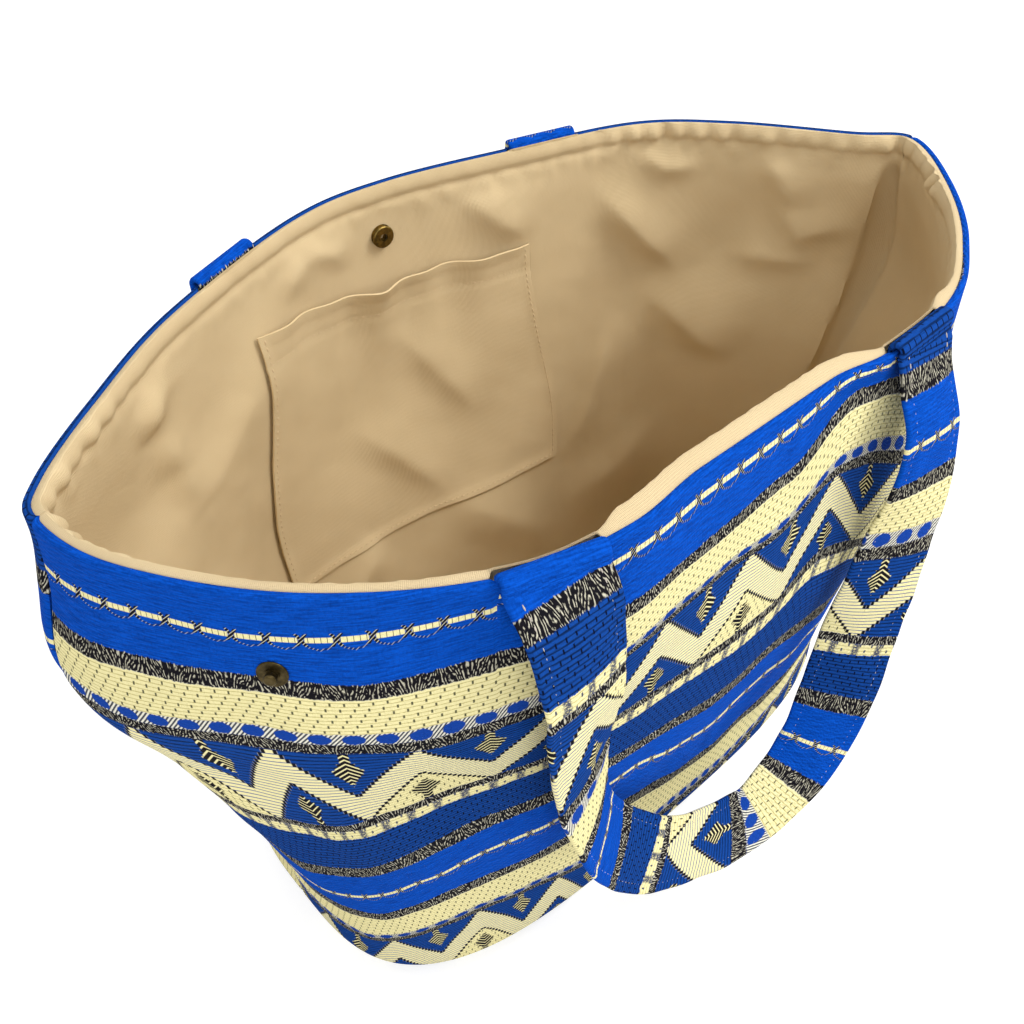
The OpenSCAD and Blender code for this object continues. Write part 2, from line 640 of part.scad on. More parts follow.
module right_socket() {
    pad_back(right_back_q, side_snap_drop, 0) socket();
}
module right_socket_spring() {
    pad_back(right_back_q, side_snap_drop, 0) socket_spring();
}
module right_socket_rivet() {
    pad_back(right_back_q, side_snap_drop, 0) socket_rivet(outer_t);
}

outer_front();
outer_back();
lining_front();
lining_back();
lining_pocket();
strap_front();
strap_back();
centre_socket();
centre_socket_spring();
centre_socket_rivet();
centre_stud();
centre_stud_rivet();
left_stud();
left_stud_rivet();
left_socket();
left_socket_spring();
left_socket_rivet();
right_stud();
right_stud_rivet();
right_socket();
right_socket_spring();
right_socket_rivet();
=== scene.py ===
# %% [markdown]
# A soft beach tote stands open on a pale floor. Its walls are a heavy striped weave, its inside is
# plain beige cotton, and two flat straps hang from the rim.

# %% The frame
import math

import bpy
import numpy as np
from mathutils import Matrix, Vector


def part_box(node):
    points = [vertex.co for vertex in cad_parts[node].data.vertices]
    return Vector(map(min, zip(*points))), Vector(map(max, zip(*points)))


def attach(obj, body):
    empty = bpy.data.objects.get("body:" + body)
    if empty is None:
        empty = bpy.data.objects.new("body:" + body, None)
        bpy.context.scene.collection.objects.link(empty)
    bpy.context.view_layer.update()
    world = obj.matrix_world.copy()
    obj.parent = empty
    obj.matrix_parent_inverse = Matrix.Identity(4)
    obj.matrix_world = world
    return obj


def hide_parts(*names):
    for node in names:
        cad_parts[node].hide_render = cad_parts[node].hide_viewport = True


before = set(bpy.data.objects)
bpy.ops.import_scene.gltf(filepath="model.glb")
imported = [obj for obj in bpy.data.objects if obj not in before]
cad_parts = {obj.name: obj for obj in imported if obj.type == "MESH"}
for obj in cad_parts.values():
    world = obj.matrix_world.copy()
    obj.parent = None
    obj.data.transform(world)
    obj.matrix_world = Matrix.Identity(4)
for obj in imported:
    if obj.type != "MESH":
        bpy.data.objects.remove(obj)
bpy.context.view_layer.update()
MM = 0.001

# %% [markdown]
# The bag is a loft: the open mouth is a soft, leaning oval, the base is a rounded box, and the wall
# joins the two. These are the sizes that were cut and sewn, in millimetres. The rim's height comes
# from the frame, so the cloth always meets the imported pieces.

# %% Sizes of the sewn bag
RIM_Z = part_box("outer_front")[1].z / MM
MOUTH = np.array([493.0, 274.0])
BASE = np.array([396.0, 216.0])
BASE_SQUARENESS = 3.3
EDGE_R = 20.0
# Thickness of the woven cloth and of the cotton, and how deep the cotton lies below the outer face
OUTER_T, LINING_T, LINING_DEPTH = 1.8, 0.8, 6.4
# Drops below the rim: foot of the turned-in hem, topstitching, foot of the upright part, first folds
HEM, TOPSTITCH, UPRIGHT, FOLDS_FROM = 14.0, 10.0, 72.0, 46.0
# How far the two ends bulge, and how far a large fold stands out
SIDE_BELLY, FOLD_DEPTH = 12.0, 5.0
# A strap's width and thickness, the distance of its ends, and how far off the middle they are sewn
STRAP_W, STRAP_T, STRAP_ENDS = 41.0, 2.6, 207.0
SEWN_SHIFT = {"front": -7.0, "back": 19.0}

# The mouth as shares of half its width and half its depth, from the left seam round the front
MOUTH_FRONT = [
    (-1, 0.07), (-0.96, -0.22), (-0.81, -0.60), (-0.60, -0.89), (-0.40, -0.99), (0.04, -1),
    (0.43, -0.98), (0.67, -0.79), (0.87, -0.50),
]
MOUTH_BACK = [
    (1, -0.19), (0.92, 0.02), (0.77, 0.42), (0.60, 0.70), (0.30, 0.87), (0, 1),
    (-0.24, 0.98), (-0.59, 0.72), (-0.81, 0.45), (-0.96, 0.22),
]
# Large soft folds: place round the loop, drop, lean, half width, half length, share of the depth
FOLDS = [
    (0.10, 150, 0.10, 34, 110, -1.0), (0.21, 190, -0.20, 40, 100, 0.9), (0.36, 120, 0.15, 36, 90, -0.7),
    (0.62, 180, -0.10, 45, 110, 0.9), (0.86, 130, 0.12, 34, 100, -1.0), (1.13, 150, -0.12, 34, 110, -1.0),
    (1.30, 200, 0.20, 42, 100, 0.9), (1.72, 190, -0.15, 42, 100, 0.8), (1.90, 140, 0.10, 34, 100, -1.0),
]
print("rim at", round(RIM_Z, 1), "mm")

# %% [markdown]
# A place on the cloth is given by two numbers, as on the flat cut piece: q runs round the loop, 0 to 1
# along the front panel and 1 to 2 along the back panel, and d is the drop below the rim, over the soft
# edge and on to the middle of the base. One function turns them into a point in space.


# %% The outline of mouth and base
def between(a, b, c, d, t):
    """Place at a share t of the way from b to c, on a smooth curve through all four."""
    bend = (2 * a - 5 * b + 4 * c - d) * t * t + (3 * b - a - 3 * c + d) * t ** 3
    return 0.5 * (2 * b + (c - a) * t + bend)


def spline(points, first, last, steps=24):
    """A smooth curve through a closed ring of points, from one of them to another."""
    curve = []
    for i in range(first, last + 1):
        four = [points[(i + k) % len(points)] for k in (-1, 0, 1, 2)]
        curve += [between(*four, k / steps) for k in range(steps + (i == last))]
    return np.array(curve)


def by_length(curve):
    """Share of a curve's length at each of its points, and that length."""
    steps = np.linalg.norm(np.diff(curve, axis=0), axis=1)
    length = steps.sum()
    return np.concatenate([[0], np.cumsum(steps)]) / length, length


ring = np.array(MOUTH_FRONT + MOUTH_BACK) * MOUTH / 2
front_curve = spline(ring, 0, len(MOUTH_FRONT) - 1)
back_curve = spline(ring, len(MOUTH_FRONT), len(ring) - 1)
front_share, FRONT_LEN = by_length(front_curve)
back_share, BACK_LEN = by_length(back_curve)
mouth_q = np.concatenate([front_share, 1 + back_share[1:]])
mouth_xy = np.concatenate([front_curve, back_curve[1:]])
angle = np.linspace(0, math.pi, 241)
# Share of a panel over which a direction is measured
STEP_Q = 0.012


def squared(x):
    """Turns the cosine or sine of a round outline into that of a rounded box."""
    return np.sign(x) * np.abs(x) ** (2 / BASE_SQUARENESS)


base_curve = np.stack([-squared(np.cos(angle)), -squared(np.sin(angle))], 1) * BASE / 2
base_share, _ = by_length(base_curve)


def mouth(q):
    q = np.mod(q, 2)
    return np.stack([np.interp(q, mouth_q, mouth_xy[:, k]) for k in (0, 1)], -1)


def along_mouth(q):
    return mouth(q + STEP_Q) - mouth(q - STEP_Q)


def base(q, inset=0.0):
    q = np.mod(q, 2)
    side = np.where(q < 1, 1, -1)
    half = [np.interp(q - (q >= 1), base_share, base_curve[:, k]) * side for k in (0, 1)]
    return np.stack([half[k] * (1 - 2 * inset / BASE[k]) for k in (0, 1)], -1)


print("panel lengths", round(FRONT_LEN, 1), round(BACK_LEN, 1))

# %% [markdown]
# The wall hangs upright for a hand's breadth and then draws in to the base. It could be made from
# extruded and scaled rings, but a function serves better: lining, pocket and straps then use the same
# surface, each at its own depth, and nothing pokes through.

# %% The wall, the soft edge and the base
WALL = RIM_Z - EDGE_R
EDGE = EDGE_R * math.pi / 2
HALF_FLOOR = BASE[1] / 2 - EDGE_R
PROFILE = WALL + EDGE + HALF_FLOOR
# Rough length of a panel, and how much the base draws in towards its middle seam
PANEL_ABOUT, FLOOR_DRAW_IN = 600.0, 0.12
# The two halves of the bag end this far from their seam
HALF_GAP = 0.15


def eased(x):
    """0 below 0 and 1 above 1, with a soft start and end."""
    t = np.clip(x, 0, 1)
    return t * t * (3 - 2 * t)


def large_folds(q, d):
    total = 0
    for place, drop, lean, half_w, half_l, share in FOLDS:
        gap = np.mod(q - place + 1, 2) - 1
        along = (gap * PANEL_ABOUT - lean * (d - drop)) / half_w
        total = total + share * np.exp(-along ** 2 - ((d - drop) / half_l) ** 2)
    fade = eased((d - FOLDS_FROM) / 70) * eased((WALL - d) / 60)
    return FOLD_DEPTH * fade * total


def belly(q, d):
    """The two ends of the bag bulge a little, most at the foot of the upright part."""
    return SIDE_BELLY * np.cos(math.pi * q) ** 4 * np.sin(math.pi * eased(d / (2 * UPRIGHT)))


def outside(q, d):
    """Points of the outer face of the bag."""
    q, d = np.broadcast_arrays(np.asarray(q, float), np.asarray(d, float))
    drop = np.minimum(d, WALL)
    ahead = along_mouth(q)
    normal = np.stack([ahead[..., 1], -ahead[..., 0]], -1) / np.linalg.norm(ahead, axis=-1)[..., None]
    taper = 1 - eased((drop - UPRIGHT) / (WALL - UPRIGHT))
    plan = base(q) + (mouth(q) - base(q)) * taper[..., None]
    plan = plan + normal * (large_folds(q, drop) + belly(q, drop))[..., None]
    turn = np.clip((d - WALL) / EDGE_R, 0, math.pi / 2)
    inset = EDGE_R * (1 - np.cos(turn))
    rounded = base(q, inset)
    share = np.clip((d - WALL - EDGE) / HALF_FLOOR, 0, 1)
    flat = rounded * np.stack([1 - FLOOR_DRAW_IN * share, 1 - share], -1)
    side = np.where(np.mod(q, 2) < 1, -HALF_GAP, HALF_GAP)
    flat[..., 1] += side * share
    xy = np.where((d <= WALL)[..., None], plan, np.where((share > 0)[..., None], flat, rounded))
    z = np.where(d <= WALL, RIM_Z - drop, EDGE_R * (1 - np.sin(turn)))
    return np.concatenate([xy, z[..., None]], -1)


def unit(v):
    return v / np.linalg.norm(v, axis=-1, keepdims=True)


def outward(q, d):
    """Directions straight out of the outer face."""
    across = outside(q + STEP_Q, d) - outside(q - STEP_Q, d)
    down = outside(q, d + 2) - outside(q, np.maximum(0, d - 2))
    n = unit(np.cross(down, across))
    return np.where((d > WALL + EDGE - 1)[..., None], np.array([0, 0, -1.0]), n)


def cloth(q, d, depth):
    """Points at a depth below the outer face, in millimetres."""
    q, d, depth = np.broadcast_arrays(*(np.asarray(v, float) for v in (q, d, depth)))
    return outside(q, d) - outward(q, d) * depth[..., None]


print("wall", WALL, "profile", round(PROFILE, 1))

# %% [markdown]
# A cloth piece starts as a flat grid, like the cut cloth on a table. Its UV map is the real size in
# metres, so that a pattern lies on it as it was woven, and then each grid point is put in its place.
# The row and column spacing is uneven: fine at the hems, where the cloth turns sharply.


# %% A sheet of cloth from a grid
def select_only(piece):
    bpy.ops.object.select_all(action="DESELECT")
    piece.select_set(True)
    bpy.context.view_layer.objects.active = piece


def cloth_grid(name, columns, rows, place, uv):
    """Grid primitive whose point in column i and row j lies at place(columns[i], rows[j])."""
    bpy.ops.object.select_all(action="DESELECT")
    bpy.ops.mesh.primitive_grid_add(x_subdivisions=len(columns) - 1, y_subdivisions=len(rows) - 1, size=1)
    piece = bpy.context.object
    piece.name = name
    mesh = piece.data
    mesh.name = name
    flat = np.zeros(len(mesh.vertices) * 3)
    mesh.vertices.foreach_get("co", flat)
    flat = flat.reshape(-1, 3)
    i = np.rint((flat[:, 0] + 0.5) * (len(columns) - 1)).astype(int)
    j = np.rint((0.5 - flat[:, 1]) * (len(rows) - 1)).astype(int)
    c, s = np.asarray(columns)[i], np.asarray(rows)[j]
    mesh.vertices.foreach_set("co", (place(c, s) * MM).ravel())
    loops = np.zeros(len(mesh.loops), int)
    mesh.loops.foreach_get("vertex_index", loops)
    mesh.uv_layers[0].name = "cut_cloth"
    mesh.uv_layers[0].data.foreach_set("uv", (uv(c, s)[loops] * MM).ravel())
    mesh.update()
    return piece


def finish_cloth(piece, thickness, offset):
    """Gives a sheet its thickness and smooth shading."""
    select_only(piece)
    solid = piece.modifiers.new("thickness", "SOLIDIFY")
    solid.thickness = thickness * MM
    solid.offset = offset
    bpy.ops.object.modifier_apply(modifier=solid.name)
    bpy.ops.object.shade_smooth_by_angle(angle=math.radians(50))
    print(piece.name, len(piece.data.polygons), "faces")
    return piece


def spaced(low, high, step):
    """Places from low to high, about a step apart."""
    return np.linspace(low, high, max(2, int(round((high - low) / step)) + 1))


print("a row 2 mm apart:", spaced(0, 16, 2))

# %% [markdown]
# Cloth is never quite smooth. Small waves come from a sum of sine waves with fixed, seeded directions,
# which gives the same cloth on every run. Sharper creases are drawn one by one, each as a ridge along
# a line of places on the panel, steep on one side and gentle on the other.


# %% Waves and creases
def waves(u, v, size, seed, count=9):
    """Soft noise between about -1 and 1, with features of about that size in millimetres."""
    rng = np.random.default_rng(seed)
    total = 0
    for _ in range(count):
        heading = rng.uniform(0, math.pi)
        pitch = size * rng.uniform(1.2, 2.6)
        along = (u * math.cos(heading) + v * math.sin(heading)) * 2 * math.pi / pitch
        total = total + np.sin(along + rng.uniform(0, 2 * math.pi))
    return total / math.sqrt(count) / 1.2


def crease(c, d, line):
    """Height of a fold. A line is its places, then its steep and its gentle half width and its height."""
    *points, steep, gentle, height = line
    nearest = np.full(np.shape(c), 1e6)
    on_left, run, total = nearest > 0, nearest * 0, 0.0
    for (c0, d0), (c1, d1) in zip(points, points[1:]):
        length = math.hypot(c1 - c0, d1 - d0)
        ahead = ((c1 - c0) / length, (d1 - d0) / length)
        along = np.clip((c - c0) * ahead[0] + (d - d0) * ahead[1], 0, length)
        off = (c - c0 - along * ahead[0], d - d0 - along * ahead[1])
        gap = np.hypot(*off)
        near = gap < nearest
        nearest = np.where(near, gap, nearest)
        on_left = np.where(near, off[0] * ahead[1] > off[1] * ahead[0], on_left)
        run = np.where(near, total + along, run)
        total += length
    fade = 0.4 * total
    ends = eased(run / fade) * eased((total - run) / fade)
    return height * ends * np.exp(-(nearest / np.where(on_left, 1.5 * steep, gentle)) ** 1.6)


sample = waves(np.arange(500.0), 0.0, 48, 41)
print("waves from", round(sample.min(), 2), "to", round(sample.max(), 2))

# %% [markdown]
# The straps are sewn in between the outer cloth and the lining, so both have to make room for them.
# Near the ends of a strap the turned-in hem stops, and the lining stays behind the strap.


# %% Places of the strap ends along each panel
def strap_windows(c, shift, fade=2.0):
    """1 where a strap passes over the rim, 0 a little beside it."""
    near = np.minimum(np.abs(c - shift + STRAP_ENDS / 2), np.abs(c - shift - STRAP_ENDS / 2))
    return 1 - eased((near - STRAP_W / 2) / fade)


PANELS = {
    "front": {"length": FRONT_LEN, "start": 0.5, "shift": SEWN_SHIFT["front"]},
    "back": {"length": BACK_LEN, "start": 1.5, "shift": SEWN_SHIFT["back"]},
}


def loop_place(side, c):
    """Place round the loop of a place c along a panel, in mm from its middle."""
    return c / PANELS[side]["length"] + PANELS[side]["start"]


for side, shift in SEWN_SHIFT.items():
    print(side, "strap ends at", shift - STRAP_ENDS / 2, "and", shift + STRAP_ENDS / 2, "mm")

# %% [markdown]
# Each outer panel is a wall and half of the base. At the rim the cloth turns over into a hem, and at
# the side seams its edge turns in, which leaves a fine groove where the two panels meet. Rows above
# the rim have a negative place: they are the part that is turned in.

# %% Rows and columns of an outer panel
FOLD_STEPS = 6
outer_rows = np.concatenate([
    [-HEM - FOLD_STEPS, -HEM / 2 - FOLD_STEPS, -FOLD_STEPS - 2],
    np.arange(-FOLD_STEPS, 0),
    spaced(0, 16, 2)[:-1], spaced(16, WALL, 3), WALL + spaced(0, EDGE, 3)[1:],
    WALL + EDGE + spaced(0, HALF_FLOOR, 6)[1:],
])


def panel_columns(side):
    """Columns 3 mm apart, and closer ones at the seams and beside the straps."""
    half = PANELS[side]["length"] / 2 - HALF_GAP
    edge = [half - 3, half - 2, half - 1, half]
    shift = PANELS[side]["shift"]
    beside = [
        shift + end * STRAP_ENDS / 2 + sign * (STRAP_W / 2 + more)
        for end in (-1, 1) for sign in (-1, 1) for more in (-0.5, 0.5, 1.5, 2.5)
    ]
    return np.unique(np.concatenate([[-e for e in edge], spaced(5 - half, half - 5, 3), edge, beside]))


print("rows", len(outer_rows), "columns", len(panel_columns("front")), len(panel_columns("back")))

# %% Places of an outer panel
PANEL_T = OUTER_T - 0.1
SEAM_TURN, SEAM_GROOVE = 3.0, 1.6
RIM_LEAN = 4.5


def outer_waves(c, d, seed):
    calm = eased(d / 40) * eased((WALL - d) / 30)
    soft = waves(c, d, 70, seed) * 1.2 + waves(c, d, 26, seed + 1) * 0.45
    return soft * calm


def rim_lean(side, c, d):
    """The middle of the front rim falls inward a little, between the two strap ends."""
    if side == "back":
        return 0 * c
    return RIM_LEAN * eased((c + 75) / 40) * eased((75 - c) / 30) * np.exp(-d / 25)


def place_outer(side, seed):
    info = PANELS[side]

    def place(c, s):
        window = strap_windows(c, info["shift"])
        radius = OUTER_T * (1 - 0.5 * window)
        turn = np.clip(-s / FOLD_STEPS, 0, 1) * math.pi
        into = np.clip(-s - FOLD_STEPS, 0, HEM) * (1 - 0.9 * window)
        turned = radius * (1 - np.sin(turn)) + into
        drop = np.where(s >= 0, radius + s * (PROFILE - radius) / PROFILE, turned)
        depth = np.where(s >= 0, 0, radius * (1 - np.cos(turn)))
        near_seam = np.clip(1 - (info["length"] / 2 - np.abs(c)) / SEAM_TURN, 0, 1)
        depth = depth + SEAM_GROOVE * near_seam ** 2 + rim_lean(side, c, drop)
        return cloth(loop_place(side, c), drop, depth - outer_waves(c, drop, seed))

    return place


print("a panel is", PANEL_T, "mm thick")

# %% [markdown]
# Woven stripes never run quite straight on a sewn bag: the cloth is cut a little off the thread and
# the folds take some of it up. So the front wall has a list of the drops below the rim at which the
# borders of the stripes lie, column by column, and the UV map follows those.

# %% How the stripes run on the walls
# Heights within the weave, and below them the drops at which they lie, at places along the panel
BORDERS = np.array([0, 20, 53.5, 74, 131, 175, 209, 229, 262.5, 283])
STRAIGHT = tuple(BORDERS + 18)
BORDER_DROPS = {
    -300: (18, 39, 66, 84, 160, 215, 247, 263, 292, 306),
    -260: (16, 37, 65, 79, 169, 224, 253, 265, 296, 304),
    -220: (18, 36, 63, 78, 157, 204, 234, 253, 282, 290),
    -180: (17, 39, 67, 79, 128, 169, 203, 228, 261, 269),
    -140: (12, 34, 64, 78, 112, 147, 187, 223, 266, 274),
    -60: (9, 35, 60, 65, 119, 167, 198, 239, 293, 304),
    20: (6, 27, 57, 64, 115, 176, 230, 269, 304, 318),
    60: (2, 8, 42, 54, 100, 163, 212, 255, 303, 316),
    140: STRAIGHT, 180: STRAIGHT, 310: STRAIGHT,
}
border_at = np.array(sorted(BORDER_DROPS), float)
border_drops = np.array([BORDER_DROPS[int(c)] for c in border_at])
# The back panel's cloth starts at this height of the weave
BACK_START = 152.0


def front_stripes(c, s):
    """Height within the weave at a place on the front wall, in mm."""
    place = np.interp(c, border_at, np.arange(len(border_at)))
    low = np.minimum(place.astype(int), len(border_at) - 2)
    four = [border_drops[np.clip(low + k, 0, len(border_at) - 1)] for k in (-1, 0, 1, 2)]
    here = between(*four, (place - low)[:, None])
    k = np.clip((here <= s[:, None]).sum(1) - 1, 0, len(BORDERS) - 2)
    each = np.arange(len(k))
    share = (s - here[each, k]) / (here[each, k + 1] - here[each, k])
    height = BORDERS[k] + share * (BORDERS[k + 1] - BORDERS[k])
    height = np.where(s < here[:, 0], s - here[:, 0], height)
    return np.where(s > here[:, -1], BORDERS[-1] + s - here[:, -1], height)


def front_uv(c, s):
    return np.stack([c, front_stripes(c, s)], -1)


def back_uv(c, s):
    return np.stack([c, s + BACK_START], -1)


outer = {}
for side, seed, panel_uv in (("front", 11, front_uv), ("back", 23, back_uv)):
    piece = cloth_grid(f"{side}_panel", panel_columns(side), outer_rows, place_outer(side, seed), panel_uv)
    outer[side] = finish_cloth(piece, PANEL_T, -1)

# %% [markdown]
# The lining is sewn to the hem and rolls over the top of the rim, where a beige edge shows. A line of
# topstitching 10 mm below pulls it in, so the part above is padded and the part below puckers. Below
# that the cotton is a little too big for the bag, and stands in slanting creases.

# %% Rows and creases of the lining
LIP_STEPS = 8
LINING_SEEDS = {"front": 41, "back": 57}
lining_rows = np.concatenate([
    np.arange(-LIP_STEPS, 0), spaced(0, 22, 1.5)[:-1], spaced(22, WALL, 2.6),
    WALL + spaced(0, EDGE, 3)[1:], WALL + EDGE + spaced(0, HALF_FLOOR, 4)[1:],
])
CREASES = {
    "back": [
        ((97, 10), (113, 40), (130, 69), (166, 91), (200, 97), (245, 97), 10, 40, 5.5),
        ((-114, 29), (-145, 63), (-161, 78), (-186, 101), 6, 24, 7),
        ((-155, 108), (-195, 133), (-232, 157), 7, 24, 6),
        ((-28, 14), (-55, 38), (-78, 56), 6, 18, 4),
        ((26, 76), (-10, 126), (-44, 174), 7, 24, 4),
        ((70, 127), (34, 164), (8, 194), (-14, 220), 7, 26, 4.5),
        ((8, 208), (-49, 252), (-112, 306), 16, 20, 6),
        ((-141, 116), (-131, 166), (-124, 204), (-114, 240), 6, 20, 5),
        ((-220, 4), (-239, 39), (-245, 50), 6, 16, 4.5), ((-136, 4), (-163, 24), (-192, 22), 6, 18, 4.5),
        ((194, 4), (205, 31), (209, 42), 6, 14, 4.5), ((201, 34), (191, 67), (193, 102), 7, 18, 5),
        ((82, 2), (44, 34), (36, 42), 5, 16, 3), ((69, 2), (87, 31), (92, 40), 5, 14, 3),
        ((54, 217), (86, 242), (98, 252), 8, 18, 5), ((-226, 34), (-248, 64), (-284, 47), 7, 20, 5),
        ((-202, 82), (-252, 85), (-268, 86), 6, 20, 5), ((215, 120), (190, 190), (160, 250), 10, 26, 6),
        ((-287, -60), (-286, 10), (-284, 90), (-280, 128), (-284, 260), 14, 2.5, 5),
        ((-296, -40), (-299, 80), (-301, 190), 4, 7, -3),
        ((-200, 200), (-160, 250), (-110, 280), 10, 26, 5),
    ],
    "front": [
        ((-200, 60), (-150, 180), 12, 22, 5), ((-60, 50), (-110, 160), 12, 22, 4),
        ((70, 40), (40, 150), 12, 24, 4), ((150, 60), (190, 170), 12, 20, 5),
        ((230, 50), (215, 140), 8, 14, 4), ((-240, 50), (-225, 140), 8, 14, 4),
    ],
}


print("creases", {side: len(lines) for side, lines in CREASES.items()})

# %% Relief, gathers and the rolled hem
FULLNESS = 1.35
GATHER, HEM_MORE = 1.2, 5.0


def lining_relief(side, c, d, seed):
    """How far the cotton stands in from its seam line."""
    total = FULLNESS * sum(crease(c, d, line) for line in CREASES[side])
    soft = 0.6 * (1 + waves(c, d, 48, seed)) + 0.15 * waves(c, d, 13, seed + 1)
    calm = eased((d - TOPSTITCH) / 16) * eased((PROFILE - d) / 20)
    pucker = 0.7 * (1 + waves(c, d * 0.25, 5, seed + 2)) * np.exp(-((d - TOPSTITCH - 4) / 6) ** 2)
    return (total + soft) * calm + pucker * (d > TOPSTITCH)


def hem_gathers(side, c, d, seed):
    """Small pleats across the padded hem, strongest where the rim turns sharply."""
    share = 0.35 + eased((c - 205) / 25) + eased((-105 - c) / 40)
    if side == "front":
        share = 0.5 + eased((np.abs(c) - 220) / 40)
    within = np.sin(math.pi * np.clip((d + 2) / (TOPSTITCH + 5), 0, 1))
    return GATHER * share * (1 + waves(c, d * 0.2, 5.5, seed + 3)) * within


def hem_width(side, c):
    """Extra width of the rolled hem, which is flattened along the middle of the front."""
    if side == "back":
        return 0 * c
    return HEM_MORE * eased((c + 150) / 40) * eased((150 - c) / 40)


print("hem at the middle of the front", LINING_DEPTH + hem_width("front", 0), "mm wide")

# %% Lining panels
SNAP_SPOTS = {"front": (-18.0, 28.0), "back": (18.0, 28.0)}
# Depth at which the rolled lip ends, how much deeper it ends under a strap, its rise and its far dip
LIP_END, LIP_HIDDEN, LIP_RISE, LIP_DIP = 3.2, 2.6, 0.2, 0.65
STITCH_DIP, STITCH_HALF_W = 0.8, 1.8


def place_lining(side, seed):
    info = PANELS[side]

    def place(c, s):
        window = strap_windows(c, info["shift"])
        turn = np.clip(-s / LIP_STEPS, 0, 1) * math.pi
        drop = np.maximum(s, 0)
        beside = 1 - strap_windows(c, info["shift"], 16)
        inner = LINING_DEPTH + hem_width(side, c) * np.exp(-(drop / 11) ** 2) * beside
        outer_lip = LIP_END + window * LIP_HIDDEN
        middle, half = (inner + outer_lip) / 2, (inner - outer_lip) / 2
        stitched = STITCH_DIP * np.exp(-((drop - TOPSTITCH) / STITCH_HALF_W) ** 2)
        padded = np.sin(math.pi * np.clip(drop / TOPSTITCH, 0, 1)) - stitched
        depth = np.where(s >= 0, inner + padded, middle + half * np.cos(turn))
        depth = depth + hem_gathers(side, c, drop, seed) * (s >= 0) + rim_lean(side, c, drop)
        spot = SNAP_SPOTS[side]
        near_snap = eased((np.hypot(c - spot[0], drop - spot[1]) - 8) / 16)
        depth = depth + lining_relief(side, c, drop, seed) * near_snap
        point = cloth(loop_place(side, c), drop, depth)
        over = (0.3 + 0.7 * window) * np.sin(turn) - LIP_DIP * (1 - np.cos(turn)) * (1 - window)
        point[:, 2] += np.where(s < 0, LIP_RISE + over, LIP_RISE * (1 - eased(drop / 6)))
        return point

    return place


def lining_uv(c, s):
    return np.stack([c, s], -1)


lining = {}
for side, seed in LINING_SEEDS.items():
    name = f"{side}_lining"
    piece = cloth_grid(name, panel_columns(side), lining_rows, place_lining(side, seed), lining_uv)
    lining[side] = finish_cloth(piece, LINING_T, 1)

# %% [markdown]
# The patch pocket is one more piece of cotton, turned under at its sides and foot and hemmed at its
# mouth. It lies on the back lining and gapes a little. Its sides stay parallel while the wall draws
# in, so its columns fan out as they go down, which is what the formula below does.

# %% Patch pocket
# Size and place on the panel, how far it gapes and tilts, how its columns fan out and lean, its hem
POCKET_W, POCKET_H, POCKET_DROP = 190.0, 165.0, 60.0
POCKET_SHIFT, POCKET_GAPE, POCKET_TILT = 22.0, 9.0, 0.06
POCKET_FAN, POCKET_LEAN = 0.24, 0.046
MOUTH_HEM, POCKET_OFF, POCKET_T = 15.0, 1.6, 1.0


def place_pocket(c, s):
    d = POCKET_DROP + s - POCKET_TILT * (c - POCKET_SHIFT + POCKET_W / 2)
    d = d - (3 + 8 * eased((c - POCKET_SHIFT) / (POCKET_W / 2) - 0.2)) * np.exp(-s / 50)
    u = 2 * c / BACK_LEN
    down = eased((d - POCKET_DROP) / POCKET_H)
    fanned = u + down * (1 - u * u) * (POCKET_FAN * u - POCKET_LEAN)
    across = 2 * (c - POCKET_SHIFT) / POCKET_W
    bulge = np.clip(across, 0, 1) * (4 + 6 * np.sin(math.pi * down))
    c_there = fanned * BACK_LEN / 2 + bulge
    wavy = 1 + 0.5 * np.sin(across * 7 + 1) + 0.25 * np.sin(across * 17)
    gape = POCKET_GAPE * wavy * np.clip(1 - across ** 2, 0, 1) * np.exp(-s / 40)
    behind = lining_relief("back", c_there, d, LINING_SEEDS["back"])
    border = np.minimum(np.minimum(POCKET_W / 2 * (1 - np.abs(across)), POCKET_H - s), s)
    turned = 1.1 * np.exp(-(border / 5) ** 4) - 0.6 * np.exp(-((s - MOUTH_HEM) / STITCH_HALF_W) ** 2)
    return cloth(loop_place("back", c_there), d, LINING_DEPTH + POCKET_OFF + behind + gape + turned)


pocket_cols = spaced(POCKET_SHIFT - POCKET_W / 2, POCKET_SHIFT + POCKET_W / 2, 2.6)
pocket = cloth_grid("patch_pocket", pocket_cols, spaced(0, POCKET_H, 2.6), place_pocket, lining_uv)
finish_cloth(pocket, POCKET_T, 1)
